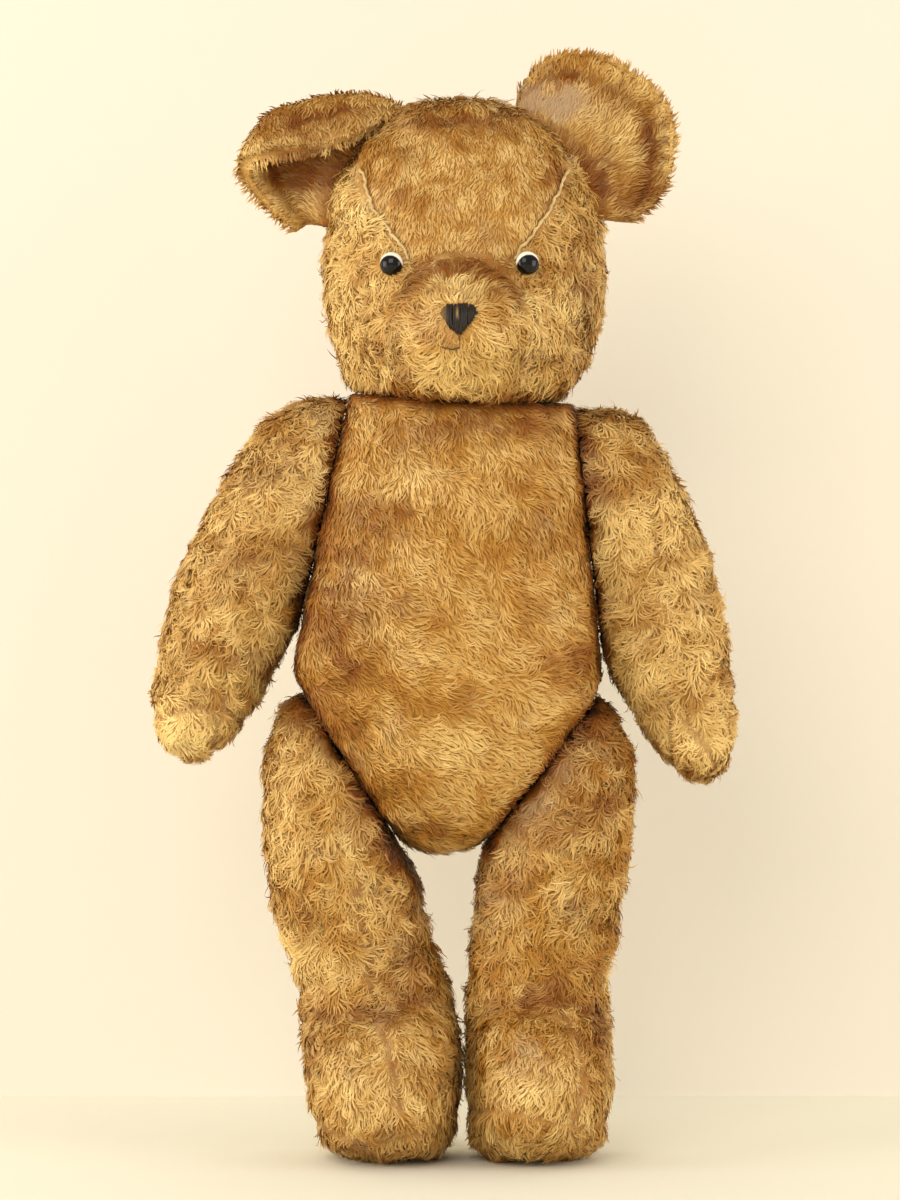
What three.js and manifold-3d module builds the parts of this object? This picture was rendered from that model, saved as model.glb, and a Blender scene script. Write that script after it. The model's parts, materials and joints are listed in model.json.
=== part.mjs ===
// A large old jointed teddy bear, standing on its soles.
// Millimetres, +Z up, the face looks along -Y. Left and right are the bear's own: its left side is at +X.
// Each stuffed form is a cover of sewn panels over one stuffing. Five disc joints (neck, shoulders and hips)
// hold the forms together: a hardboard disc and a steel washer lie inside each of the two covers, and a split
// pin runs through both, with its eye in the limb and its legs curled over inside the torso.
import * as THREE from "three";
import { mergeVertices } from "three/addons/utils/BufferGeometryUtils.js";
import Module from "manifold-3d";

const wasm = await Module();
wasm.setup();

// ---- driving dimensions ----
const CLOTH = 3; // thickness of plush backing and flattened pile
const GAP = 0.3; // clearance between touching pieces
const SEAM = 0.4; // clearance between two panels of one cover
const JOINT_GAP = 1; // clearance between the two covers of a disc joint

const TORSO_BASE = [-10.5, 178]; // crotch, x and z
const TORSO_LEAN = rad(2.8); // the body leans to its left
const TORSO_TALL = 259;
const NECK_NOD = rad(4); // the neck joint tips forward

const SHOULDER = { out: 70, up: 224, tilt: rad(9) }; // in the leaning torso's own frame
const HIP = { out: 55, up: 47, tilt: rad(-35) };

const DISC = { shoulder: 23, hip: 25, neck: 33, thick: 3 };
const WASHER = { radius: 9, thick: 1.1 };
const PIN = { shank: 1.6, eye: 3.4, wire: 1.2, curl: 4.4 };
const PIN_HOLE = 2.3;
const ROOM = 1.035; // how much wider than its disc a pocket is

// Each form is a stack of level rings: [z, lowest x, highest x, front y, back y], closed at both ends.
const TORSO_RINGS = [
  [0, -20, 20, -24, 22],
  [14, -38, 38, -44, 40],
  [44, -66, 66, -61, 54],
  [84, -86, 86, -72, 61],
  [118, -89, 89, -75, 63],
  [165, -84, 84, -72, 62],
  [220, -79, 79, -61, 57],
  [252, -72, 72, -52, 50],
  [268, -62, 62, -45, 45],
];
const HEAD_RINGS = [
  [-10, -50, 50, -42, 38],
  [6, -65, 65, -56, 52],
  [20, -71, 73, -61, 58],
  [38, -76, 78.5, -65, 64],
  [58, -80, 82.5, -67, 69],
  [80, -80.5, 83, -67, 71],
  [106, -77, 79, -62, 70],
  [132, -68, 69, -53, 62],
  [154, -52, 52, -41, 48],
  [170, -20, 20, -16, 20],
];
const MUZZLE = { x: 0, z: 32, out: 37, wide: 42, tall: 33 }; // a rounded swelling of the face
const RIGHT_ARM_RINGS = [
  [230, -161, -142, -9, 13],
  [240, -172, -129, -24, 26],
  [264, -177, -113, -33, 34],
  [300, -171, -93, -38, 36],
  [345, -158, -70, -38, 36],
  [385, -137, -54, -37, 36],
  [414, -119, -50, -31, 32],
  [429, -103, -54, -20, 21],
  [436, -90, -62, -8, 9],
];
const LEFT_ARM_RINGS = [
  [217, 130, 149, -9, 13],
  [226, 119, 157, -23, 25],
  [250, 102, 160, -32, 32],
  [290, 81, 156, -38, 36],
  [335, 66, 148, -39, 36],
  [380, 54, 132, -37, 36],
  [408, 51, 116, -31, 32],
  [423, 56, 104, -20, 21],
  [430, 66, 92, -8, 9],
];
const RIGHT_LEG_RINGS = [
  [0, -65, -18, -54, 26],
  [5, -74, -9, -66, 34],
  [14, -79, -3, -73, 39],
  [32, -82, -1, -77, 41],
  [56, -86, -1, -70, 41],
  [76, -90, -3, -54, 39],
  [94, -94, -7, -40, 38],
  [134, -105, -16, -37, 38],
  [190, -113, -23, -40, 42],
  [230, -112, -38, -38, 41],
  [252, -106, -58, -27, 29],
  [264, -98, -74, -12, 14],
];
const LEFT_LEG_RINGS = [
  [0, 22, 71, -53, 26],
  [5, 12, 79, -65, 34],
  [14, 6, 83, -72, 39],
  [32, 4, 85, -76, 41],
  [56, 3.5, 85, -70, 41],
  [76, 3.5, 84.5, -54, 39],
  [94, 4, 85, -40, 38],
  [134, 7, 93, -37, 38],
  [190, 15, 101, -40, 42],
  [230, 32, 100, -38, 41],
  [252, 52, 93, -27, 29],
  [264, 66, 84, -12, 14],
];

// An ear is a fan of ribs, in the head's frame. Each rib is a curve through its place on the sewn base, its
// crest and its rim. The left ear stands up and cups a little; the right one folds forward and droops.
const LEFT_EAR_RIBS = [
  [[30, 6, 163], [32, 5, 170], [33, 2, 177]],
  [[37, 6, 160], [45, 8, 181], [50, 0, 195]],
  [[52, 6, 154], [66, 12, 179], [76, 0, 199]],
  [[65, 6, 145], [88, 14, 170], [104, 0, 185]],
  [[73, 6, 135], [101, 14, 154], [121, 0, 167]],
  [[78, 6, 124], [104, 12, 135], [123, 0, 143]],
  [[81, 6, 113], [101, 8, 117], [116, 0, 119]],
  [[82, 6, 103], [91, 4, 102], [99, 1, 101]],
];
const RIGHT_EAR_RIBS = [
  [[-32, 6, 162], [-35, 2, 170], [-35, -8, 165]],
  [[-47, 6, 156], [-58, 0, 175], [-57, -17, 152]],
  [[-60, 6, 147], [-84, 1, 174], [-82, -23, 143]],
  [[-69, 6, 137], [-108, 1, 162], [-105, -24, 139]],
  [[-74, 6, 126], [-117, 4, 144], [-125, -18, 131]],
  [[-78, 6, 114], [-105, 8, 121], [-120, -8, 115]],
  [[-80, 6, 103], [-92, 5, 103], [-103, -1, 100]],
];
const EAR_THICK = 3.2; // one of the two plush faces of an ear

const EYE = { radius: 6.6, dome: 4.6, stem: 1.1, stemLong: 9, z: 71.5, turn: rad(14) };
const EYE_X = { left: 36.5, right: -39.5 };
const NOSE = { half: 9.5, tall: 19, x: -1.8, z: 37, deep: 14, proud: 2.5 };
const MOUTH = { half: 9, drop: 15.5, rise: 2.5, wire: 0.9 };

// Where the panels of the covers meet
const SIDE_SEAM = 8; // y of the torso's side seams, just behind its joints
const ARM_SEAM = 34; // the arm's panels meet this far out from the shoulder joint
const PAW_SEAM = 34; // height of the paw pad above the arm's lowest point
const SOLE_SEAM = 15; // height of the sole pad's edge

// ---- colours ----
const plush = cloth("#b98a4b", 0.95);
const padPlush = cloth("#c79d5e", 0.9);
const woodWool = cloth("#cbb07a", 1);
const blackThread = cloth("#1b1511", 0.7);
const hardboard = cloth("#6d4a2c", 0.85);
const steel = new THREE.MeshStandardMaterial({ color: "#8d8c88", roughness: 0.4, metalness: 1 });
const eyeGlass = new THREE.MeshStandardMaterial({ color: "#15130f", roughness: 0.08, metalness: 0 });

function rad(degrees) {
  return (degrees * Math.PI) / 180;
}

function cloth(color, roughness) {
  return new THREE.MeshStandardMaterial({ color, roughness, metalness: 0 });
}

// ---- solids ----

function onlyPoints(geometry) {
  const plain = new THREE.BufferGeometry();
  plain.setAttribute("position", geometry.getAttribute("position").clone());
  plain.setIndex(geometry.index ? geometry.index.clone() : null);
  return mergeVertices(plain, 1e-4);
}

function solidOf(geometry) {
  const merged = onlyPoints(geometry);
  return new wasm.Manifold(
    new wasm.Mesh({
      numProp: 3,
      vertProperties: new Float32Array(merged.attributes.position.array),
      triVerts: new Uint32Array(merged.index.array),
    }),
  );
}

function meshOf(name, solid, material) {
  const found = solid.getMesh();
  const geometry = new THREE.BufferGeometry();
  geometry.setAttribute("position", new THREE.BufferAttribute(new Float32Array(found.vertProperties), 3));
  geometry.setIndex(new THREE.BufferAttribute(new Uint32Array(found.triVerts), 1));
  geometry.computeVertexNormals();
  const mesh = new THREE.Mesh(geometry, material);
  mesh.name = name;
  return mesh;
}

// A stack of rings made into one closed surface. A ring is a slightly squared oval with its points drawn
// towards the front by the given share.
function stacked(rings, around, forward = 0) {
  const squared = 2 / 2.25;
  const points = [];
  const corner = (v) => Math.sign(v) * Math.abs(v) ** squared;
  for (const [z, low, high, front, back] of rings) {
    for (let i = 0; i < around; i++) {
      const even = (2 * Math.PI * i) / around;
      const turn = even - forward * Math.cos(even);
      const reach = Math.sin(turn) < 0 ? -front : back;
      const x = (low + high) / 2 + ((high - low) / 2) * corner(Math.cos(turn));
      points.push(x, reach * corner(Math.sin(turn)), z);
    }
  }
  const faces = [];
  for (let r = 0; r + 1 < rings.length; r++) {
    for (let i = 0; i < around; i++) {
      const j = (i + 1) % around;
      const a = r * around + i;
      const b = r * around + j;
      faces.push(a, b, b + around, a, b + around, a + around);
    }
  }
  for (const end of [0, rings.length - 1]) {
    const [z, low, high, front, back] = rings[end];
    const middle = points.length / 3;
    points.push((low + high) / 2, (front + back) / 2, z);
    for (let i = 0; i < around; i++) {
      const a = end * around + i;
      const b = end * around + ((i + 1) % around);
      faces.push(middle, end ? a : b, end ? b : a);
    }
  }
  const geometry = new THREE.BufferGeometry();
  geometry.setAttribute("position", new THREE.Float32BufferAttribute(points, 3));
  geometry.setIndex(faces);
  return geometry;
}

function eachPoint(geometry, change) {
  const at = geometry.attributes.position;
  const p = new THREE.Vector3();
  for (let i = 0; i < at.count; i++) {
    change(p.fromBufferAttribute(at, i), i);
    at.setXYZ(i, p.x, p.y, p.z);
  }
  return geometry;
}

// The same surface moved along its own normals: inwards below zero, outwards above it.
function grown(geometry, by) {
  const made = onlyPoints(geometry);
  made.computeVertexNormals();
  const normals = made.attributes.normal;
  const n = new THREE.Vector3();
  eachPoint(made, (p, i) => p.addScaledVector(n.fromBufferAttribute(normals, i), by));
  made.deleteAttribute("normal");
  return made;
}

// Splits a cover into two panels with a seam between them: the part past the plane, and the part before it.
function split(cover, normal, offset) {
  const before = normal.map((n) => -n);
  return [cover.trimByPlane(normal, offset + SEAM / 2), cover.trimByPlane(before, SEAM / 2 - offset)];
}

// The stand of a joint: its local +Z leaves the torso's cover at the joint's middle.
function stand(point, normal) {
  const turn = new THREE.Quaternion().setFromUnitVectors(new THREE.Vector3(0, 0, 1), normal);
  return new THREE.Matrix4().compose(point, turn, new THREE.Vector3(1, 1, 1));
}

function rod(radius, low, high, place, sides = 16) {
  const cylinder = new THREE.CylinderGeometry(radius, radius, high - low, sides);
  cylinder.rotateX(Math.PI / 2).translate(0, 0, (low + high) / 2);
  return solidOf(cylinder.applyMatrix4(place));
}

function wire(points, radius, place, steps) {
  const section = new THREE.Shape().absarc(0, 0, radius, 0, 2 * Math.PI);
  const path = new THREE.CatmullRomCurve3(points.map((p) => new THREE.Vector3(...p)));
  const options = { steps, extrudePath: path, bevelEnabled: false, curveSegments: 3 };
  return solidOf(new THREE.ExtrudeGeometry(section, options).applyMatrix4(place));
}

// ---- frames of the torso and of the joints ----
const side = { left: 1, right: -1 };
const torsoFrame = new THREE.Matrix4().makeRotationY(TORSO_LEAN);
torsoFrame.setPosition(TORSO_BASE[0], 0, TORSO_BASE[1]);

function jointAt(x, up, direction) {
  const point = new THREE.Vector3(x, 0, up).applyMatrix4(torsoFrame);
  const normal = new THREE.Vector3(...direction).transformDirection(torsoFrame);
  return { point, normal, place: stand(point, normal) };
}

function limbJoint({ out, up, tilt }, name) {
  return jointAt(side[name] * out, up, [side[name] * Math.cos(tilt), 0, Math.sin(tilt)]);
}

const joints = {
  neck: { ...jointAt(0, TORSO_TALL, [0, -Math.sin(NECK_NOD), Math.cos(NECK_NOD)]), radius: DISC.neck },
  left_shoulder: { ...limbJoint(SHOULDER, "left"), radius: DISC.shoulder },
  right_shoulder: { ...limbJoint(SHOULDER, "right"), radius: DISC.shoulder },
  left_hip: { ...limbJoint(HIP, "left"), radius: DISC.hip },
  right_hip: { ...limbJoint(HIP, "right"), radius: DISC.hip },
};

// ---- covers and stuffing ----

// What a joint takes out of the stuffing: room for the disc and washer, and behind them for the pin.
function discRoom({ place, radius }, onTorso) {
  const edge = CLOTH + DISC.thick + WASHER.thick + 4 * GAP;
  const pinLegs = rod(PIN.curl * 2 + 3, -edge - 9, -1, place, 10);
  const pinEye = rod(PIN.eye + 3, 1, edge + 11 + JOINT_GAP, place, 8);
  const wide = radius * ROOM;
  if (onTorso) return rod(wide, -edge, 0, place).add(pinLegs);
  return rod(wide, 0, edge + JOINT_GAP, place).add(pinEye);
}

// The form inside its surface by a given depth, cut off flat at that depth from each joint's plane.
function within(form, its, depth, onTorso) {
  let solid = solidOf(depth ? grown(form, -depth) : form);
  for (const { point, normal } of its) {
    const kept = onTorso ? normal.clone().negate() : normal;
    const offset = kept.dot(point) + depth + (onTorso ? 0 : JOINT_GAP);
    solid = solid.trimByPlane([kept.x, kept.y, kept.z], offset);
  }
  return solid;
}

// A closed form becomes a hollow cover and the stuffing that fills it.
function coverAndStuffing(form, its, onTorso) {
  let cover = within(form, its, 0, onTorso).subtract(within(form, its, CLOTH, onTorso));
  let stuffing = within(form, its, CLOTH + GAP, onTorso);
  for (const joint of its) {
    const hole = rod(PIN_HOLE, -CLOTH - 2, CLOTH + 2 + JOINT_GAP, joint.place, 8);
    const seat = onTorso ? [-CLOTH - 5, -CLOTH] : [CLOTH + JOINT_GAP, CLOTH + JOINT_GAP + 5];
    cover = cover.subtract(hole).subtract(rod(joint.radius * ROOM, ...seat, joint.place));
    stuffing = stuffing.subtract(discRoom(joint, onTorso));
  }
  return { cover, stuffing };
}

const torsoForm = stacked(TORSO_RINGS, 16).applyMatrix4(torsoFrame);

// The head stands upright on the leaning neck.
const headFrame = new THREE.Matrix4().setPosition(joints.neck.point.x, 0, joints.neck.point.z);
function swollenMuzzle(p) {
  if (p.y > 0) return;
  const fall = ((p.x - MUZZLE.x) / MUZZLE.wide) ** 2 + ((p.z - MUZZLE.z) / MUZZLE.tall) ** 2;
  p.y -= MUZZLE.out * Math.exp(-(fall ** 1.3));
}
const headForm = eachPoint(stacked(HEAD_RINGS, 20, 0.4), swollenMuzzle).applyMatrix4(headFrame);

const model = new THREE.Group();
const put = (name, solid, material) => model.add(meshOf(name, solid, material));

// Torso: a front and a back panel, joined by seams down the sides.
const torso = coverAndStuffing(torsoForm, Object.values(joints), true);
const [torsoBack, torsoFront] = split(torso.cover, [0, 1, 0], SIDE_SEAM);
put("torso_front_panel", torsoFront, plush);
put("torso_back_panel", torsoBack, plush);
put("torso_stuffing", torso.stuffing, woodWool);

// Head: a gusset from the nose over the crown and down the back, between two side panels.
const head = coverAndStuffing(headForm, [joints.neck], false);

// A bar through the head along Y whose front outline is given as [half width, z] pairs, from y0 to y1.
function gussetBar(outline, y0, y1, spare) {
  const shape = new THREE.Shape();
  outline.forEach(([half, z], i) => (i ? shape.lineTo(half + spare, z) : shape.moveTo(half + spare, z)));
  [...outline].reverse().forEach(([half, z]) => shape.lineTo(-half - spare, z));
  const bar = new THREE.ExtrudeGeometry(shape, { depth: y1 - y0, bevelEnabled: false, steps: 1 });
  bar.rotateX(Math.PI / 2).translate(0, y1, 0).applyMatrix4(headFrame);
  return solidOf(bar);
}
const GUSSET_FRONT = [
  [10, 30],
  [13, 52],
  [26, 69],
  [37, 86],
  [51, 106],
  [60, 127],
  [62, 190],
];
const GUSSET_BACK = [
  [22, -30],
  [34, 60],
  [58, 190],
];
function gusset(spare) {
  return gussetBar(GUSSET_FRONT, -150, 2, spare).add(gussetBar(GUSSET_BACK, 0, 150, spare));
}

// Finds the head's surface from in front of it, at a place given in the head's frame.
const headTarget = new THREE.Mesh(headForm, new THREE.MeshBasicMaterial({ side: THREE.DoubleSide }));
function faceAt(x, z) {
  const from = new THREE.Vector3(x, -300, z).applyMatrix4(headFrame);
  const hits = new THREE.Raycaster(from, new THREE.Vector3(0, 1, 0)).intersectObject(headTarget);
  return hits[0].point;
}

// An eye is a glass dome with a wire stem that goes through the cloth and holds in the stuffing.
function eyePlace(name) {
  const at = faceAt(EYE_X[name], EYE.z);
  at.y -= 0.5;
  const out = new THREE.Vector3(side[name] * Math.sin(EYE.turn), -Math.cos(EYE.turn), 0);
  return stand(at, out);
}
function eyeSolid(place) {
  const arc = [0, 0.25, 0.5, 0.75].map((t) => {
    const turn = (t * Math.PI) / 2;
    return new THREE.Vector2(EYE.radius * Math.cos(turn), EYE.dome * Math.sin(turn));
  });
  const profile = [
    new THREE.Vector2(0, -EYE.stemLong),
    new THREE.Vector2(EYE.stem, -EYE.stemLong),
    new THREE.Vector2(EYE.stem, -1.2),
    new THREE.Vector2(EYE.radius - 0.6, -1.2),
    ...arc,
    new THREE.Vector2(0, EYE.dome),
  ];
  const lathe = new THREE.LatheGeometry(profile, 12).rotateX(Math.PI / 2);
  return solidOf(lathe.applyMatrix4(place));
}
function eyeRoom(place) {
  return rod(EYE.radius + 0.3, -1.6, 12, place).add(rod(EYE.stem + 0.4, -EYE.stemLong - 0.6, 0, place, 8));
}
for (const name of ["left", "right"]) {
  const place = eyePlace(name);
  head.cover = head.cover.subtract(eyeRoom(place));
  head.stuffing = head.stuffing.subtract(eyeRoom(place));
  put(`${name}_eye`, eyeSolid(place), eyeGlass);
}
const headSides = split(head.cover.subtract(gusset(SEAM)), [1, 0, 0], joints.neck.point.x);
put("head_gusset", head.cover.intersect(gusset(0)), plush);
put("head_left_panel", headSides[0], plush);
put("head_right_panel", headSides[1], plush);
put("head_stuffing", head.stuffing, woodWool);

// Ears: two plush faces each, sewn to the head along their base. A face is the ribs' own surface, thickened
// from one offset to another along its normals.
const EAR_STEPS = 5; // points along a rib, after the one that lies inside the head
function earFace(ribs, from, to) {
  const sheet = new THREE.PlaneGeometry(1, 1, EAR_STEPS, ribs.length - 1);
  const curves = ribs.map(([base, crest, rim]) => {
    const root = base.map((b, k) => b - 0.25 * (crest[k] - b));
    return new THREE.CatmullRomCurve3([root, base, crest, rim].map((p) => new THREE.Vector3(...p)));
  });
  const row = EAR_STEPS + 1;
  eachPoint(sheet, (p, i) => curves[Math.floor(i / row)].getPoint((i % row) / EAR_STEPS, p));
  sheet.computeVertexNormals();
  const { position, normal } = sheet.attributes;
  const points = [];
  const p = new THREE.Vector3();
  const n = new THREE.Vector3();
  for (const offset of [from, to]) {
    for (let i = 0; i < position.count; i++) {
      n.fromBufferAttribute(normal, i);
      points.push(...p.fromBufferAttribute(position, i).addScaledVector(n, offset));
    }
  }
  const one = [...sheet.index.array];
  const faces = [];
  for (let f = 0; f < one.length; f += 3) {
    const [a, b, c] = one.slice(f, f + 3);
    faces.push(a + position.count, b + position.count, c + position.count, a, c, b);
  }
  const last = (ribs.length - 1) * row;
  const rim = [];
  for (let i = 0; i < EAR_STEPS; i++) rim.push([i + 1, i], [last + i, last + i + 1]);
  for (let r = 0; r + 1 < ribs.length; r++) {
    rim.push([r * row, (r + 1) * row], [(r + 2) * row - 1, (r + 1) * row - 1]);
  }
  for (const [a, b] of rim) {
    faces.push(a, b, b + position.count, a, b + position.count, a + position.count);
  }
  const geometry = new THREE.BufferGeometry();
  geometry.setAttribute("position", new THREE.Float32BufferAttribute(points, 3));
  geometry.setIndex(faces);
  return solidOf(geometry.applyMatrix4(headFrame));
}
const headClear = solidOf(grown(headForm, GAP + 0.2));
for (const [name, ribs] of [["left", LEFT_EAR_RIBS], ["right", RIGHT_EAR_RIBS]]) {
  const layers = [[-EAR_THICK - GAP / 2, -GAP / 2], [GAP / 2, EAR_THICK + GAP / 2]];
  layers.forEach(([from, to], layer) => {
    const face = (layer === 0) === (name === "left") ? "back" : "front";
    put(`${name}_ear_${face}`, earFace(ribs, from, to).subtract(headClear), plush);
  });
}

// Nose: a block of upright black stitches. Mouth: one curved stitch below it.
function noseSolid() {
  const { half, tall, x, z, deep, proud } = NOSE;
  const shape = new THREE.Shape();
  shape.moveTo(x - half, z + tall * 0.45);
  shape.lineTo(x + half, z + tall * 0.45);
  shape.quadraticCurveTo(x + half, z - tall * 0.2, x, z - tall * 0.55);
  shape.quadraticCurveTo(x - half, z - tall * 0.2, x - half, z + tall * 0.45);
  const tip = faceAt(x, z).y;
  const bar = new THREE.ExtrudeGeometry(shape, { depth: deep, bevelEnabled: false, curveSegments: 5 });
  bar.rotateX(Math.PI / 2).translate(0, tip + deep - proud, 0).applyMatrix4(headFrame);
  return solidOf(bar).subtract(headClear);
}
put("nose_stitching", noseSolid(), blackThread);

function mouthSolid() {
  const path = [-1, -0.5, 0, 0.5, 1].map((t) => {
    const p = faceAt(NOSE.x + MOUTH.half * t, NOSE.z - MOUTH.drop + MOUTH.rise * t * t);
    return [p.x, p.y - MOUTH.wire - 1, p.z];
  });
  return wire(path, MOUTH.wire, new THREE.Matrix4(), 8).subtract(headClear);
}
put("mouth_stitching", mouthSolid(), blackThread);

// Arms: an inner and an outer panel, and a short-pile pad at the paw.
function arm(name, rings) {
  const joint = joints[`${name}_shoulder`];
  const { cover, stuffing } = coverAndStuffing(stacked(rings, 12), [joint], false);
  const [upper, pad] = split(cover, [0, 0, 1], rings[0][0] + PAW_SEAM);
  const out = joint.normal;
  const [outer, inner] = split(upper, out.toArray(), out.dot(joint.point) + ARM_SEAM);
  put(`${name}_arm_inner_panel`, inner, plush);
  put(`${name}_arm_outer_panel`, outer, plush);
  put(`${name}_paw_pad`, pad, padPlush);
  put(`${name}_arm_stuffing`, stuffing, woodWool);
}
arm("left", LEFT_ARM_RINGS);
arm("right", RIGHT_ARM_RINGS);

// Legs: an inner and an outer panel with seams down the shin and the heel, and a sole pad.
function leg(name, rings) {
  const joint = joints[`${name}_hip`];
  const { cover, stuffing } = coverAndStuffing(stacked(rings, 14), [joint], false);
  const [upper, sole] = split(cover, [0, 0, 1], SOLE_SEAM);
  const [, low, high] = rings[4];
  const [outer, inner] = split(upper, [side[name], 0, 0], (side[name] * (low + high)) / 2);
  put(`${name}_leg_inner_panel`, inner, plush);
  put(`${name}_leg_outer_panel`, outer, plush);
  put(`${name}_sole_pad`, sole, padPlush);
  put(`${name}_leg_stuffing`, stuffing, woodWool);
}
leg("left", LEFT_LEG_RINGS);
leg("right", RIGHT_LEG_RINGS);

// ---- the five disc joints ----

function ring(radius, thick, low, place) {
  const shape = new THREE.Shape().absarc(0, 0, radius, 0, 2 * Math.PI);
  shape.holes.push(new THREE.Path().absarc(0, 0, PIN_HOLE, 0, 2 * Math.PI));
  const curveSegments = radius > WASHER.radius ? 8 : 5;
  const flat = new THREE.ExtrudeGeometry(shape, { depth: thick, bevelEnabled: false, curveSegments });
  return solidOf(flat.translate(0, 0, low).applyMatrix4(place));
}

function splitPin(place, eyeAt, legsAt) {
  const loop = new THREE.TorusGeometry(PIN.eye, PIN.wire, 5, 8).rotateX(Math.PI / 2);
  loop.translate(0, 0, eyeAt + PIN.eye + PIN.wire);
  const shank = rod(PIN.shank, legsAt - 1, eyeAt + PIN.wire * 1.6, place, 8);
  let pin = shank.add(solidOf(loop.applyMatrix4(place)));
  for (const way of [-1, 1]) {
    const curl = [0, 0.25, 0.5, 0.75, 1].map((t) => {
      const turn = t * Math.PI;
      return [way * PIN.curl * (1 - Math.cos(turn)), 0, legsAt - PIN.curl * Math.sin(turn)];
    });
    pin = pin.add(wire(curl, PIN.wire, place, 4));
  }
  return pin;
}

for (const [name, { place, radius }] of Object.entries(joints)) {
  const discAt = CLOTH + GAP;
  const washerAt = discAt + DISC.thick + GAP;
  const pinAt = washerAt + WASHER.thick + GAP;
  put(`${name}_disc_in_torso`, ring(radius, DISC.thick, -discAt - DISC.thick, place), hardboard);
  put(`${name}_washer_in_torso`, ring(WASHER.radius, WASHER.thick, -washerAt - WASHER.thick, place), steel);
  put(`${name}_outer_disc`, ring(radius, DISC.thick, JOINT_GAP + discAt, place), hardboard);
  put(`${name}_outer_washer`, ring(WASHER.radius, WASHER.thick, JOINT_GAP + washerAt, place), steel);
  put(`${name}_split_pin`, splitPin(place, JOINT_GAP + pinAt, -pinAt - PIN.wire), steel);
}

// The finished bear stands with the middle of its footprint box at the origin.
const box = new THREE.Box3().setFromObject(model);
model.position.set(-(box.min.x + box.max.x) / 2, -(box.min.y + box.max.y) / 2, -box.min.z);

export default model;
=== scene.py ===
"""A large old jointed teddy bear in threadbare gold mohair plush, standing on its own feet.

Each stuffed form is a cover worked out as ovals along an axis, pressed flat where two forms meet at a disc
joint and blown tight by a cloth simulation. The pile is ribbons of mohair rooted in the covers and combed by
direction fields, short and parted along the seams and thin where the bear is bald.
"""
import json
import math
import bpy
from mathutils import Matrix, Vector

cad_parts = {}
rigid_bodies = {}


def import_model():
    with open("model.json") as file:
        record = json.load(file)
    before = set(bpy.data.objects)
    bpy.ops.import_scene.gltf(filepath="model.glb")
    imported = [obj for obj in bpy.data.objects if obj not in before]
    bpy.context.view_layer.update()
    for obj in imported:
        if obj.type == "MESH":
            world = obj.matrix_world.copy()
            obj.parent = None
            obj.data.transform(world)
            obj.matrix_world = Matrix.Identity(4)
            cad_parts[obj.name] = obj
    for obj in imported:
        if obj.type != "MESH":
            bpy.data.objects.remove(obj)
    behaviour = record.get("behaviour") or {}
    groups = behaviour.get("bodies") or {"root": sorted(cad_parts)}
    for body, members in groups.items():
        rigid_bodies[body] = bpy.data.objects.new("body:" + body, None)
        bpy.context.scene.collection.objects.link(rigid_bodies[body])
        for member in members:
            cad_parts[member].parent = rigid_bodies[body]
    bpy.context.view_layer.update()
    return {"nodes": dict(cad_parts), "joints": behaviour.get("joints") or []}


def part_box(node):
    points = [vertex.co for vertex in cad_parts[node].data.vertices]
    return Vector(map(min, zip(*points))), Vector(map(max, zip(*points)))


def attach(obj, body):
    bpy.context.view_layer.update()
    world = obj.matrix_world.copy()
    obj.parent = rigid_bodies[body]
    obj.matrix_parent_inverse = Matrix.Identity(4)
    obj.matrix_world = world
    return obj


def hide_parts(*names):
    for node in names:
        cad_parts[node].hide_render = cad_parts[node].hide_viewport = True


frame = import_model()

from types import SimpleNamespace

import bpy
import numpy as np
from bpy.props import FloatProperty, FloatVectorProperty, IntProperty, PointerProperty
from mathutils import Vector
from mathutils.bvhtree import BVHTree

bl_info = {
    "name": "Threadbare Teddy Bear",
    "version": (1, 0, 0),
    "blender": (4, 5, 0),
    "location": "3D View > Sidebar > Bear",
    "description": "Builds an old jointed mohair bear around its frame",
    "category": "Add Mesh",
}

MM = 0.001
DOWN = np.array([0.0, 0.0, -1.0])
SIDE = {"left": 1, "right": -1}  # the bear's own left is at +X


def linear(hex_colour):
    """An sRGB hex colour as linear red, green and blue."""
    part = [int(hex_colour[i:i + 2], 16) / 255 for i in (1, 3, 5)]
    return tuple(c / 12.92 if c <= 0.04045 else ((c + 0.055) / 1.055) ** 2.4 for c in part)


# ---------------------------------------------------------------- sizes and colours


def colour(name, description, hex_colour):
    return FloatVectorProperty(name=name, description=description, default=linear(hex_colour),
                               subtype="COLOR", size=3, min=0, max=1)


def length(name, description, default):
    return FloatProperty(name=name, description=description, default=default, min=0,
                         subtype="DISTANCE", unit="LENGTH")


class BearSizes(bpy.types.PropertyGroup):
    pile_thick: length("Pile thickness", "How far the flattened pile stands above the backing", 3 * MM)
    pile_long: length("Pile length", "Length of a mohair lock", 10.5 * MM)
    lock_wide: length("Lock width", "Width of a mohair lock at its root", 0.9 * MM)
    joint_gap: length("Joint gap", "Space between a cover and its joint's plane", 0.15 * MM)
    cloth_grid: length("Cloth grid", "Spacing of the cloth simulation's points", 6 * MM)
    puff: length("Puff", "The most that stuffing may swell a cover", 4 * MM)
    fold_deep: length("Ankle fold depth", "How far the front of the ankle is folded in", 3.5 * MM)
    lumps: length("Lumpiness", "Height of the stuffing's lumps", 0.7 * MM)
    seam_deep: length("Seam depth", "How far a seam pulls the cover in", 1.6 * MM)
    locks: IntProperty(name="Locks", description="Locks of mohair on the whole bear", default=157000,
                       min=1000, max=260000)


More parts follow.
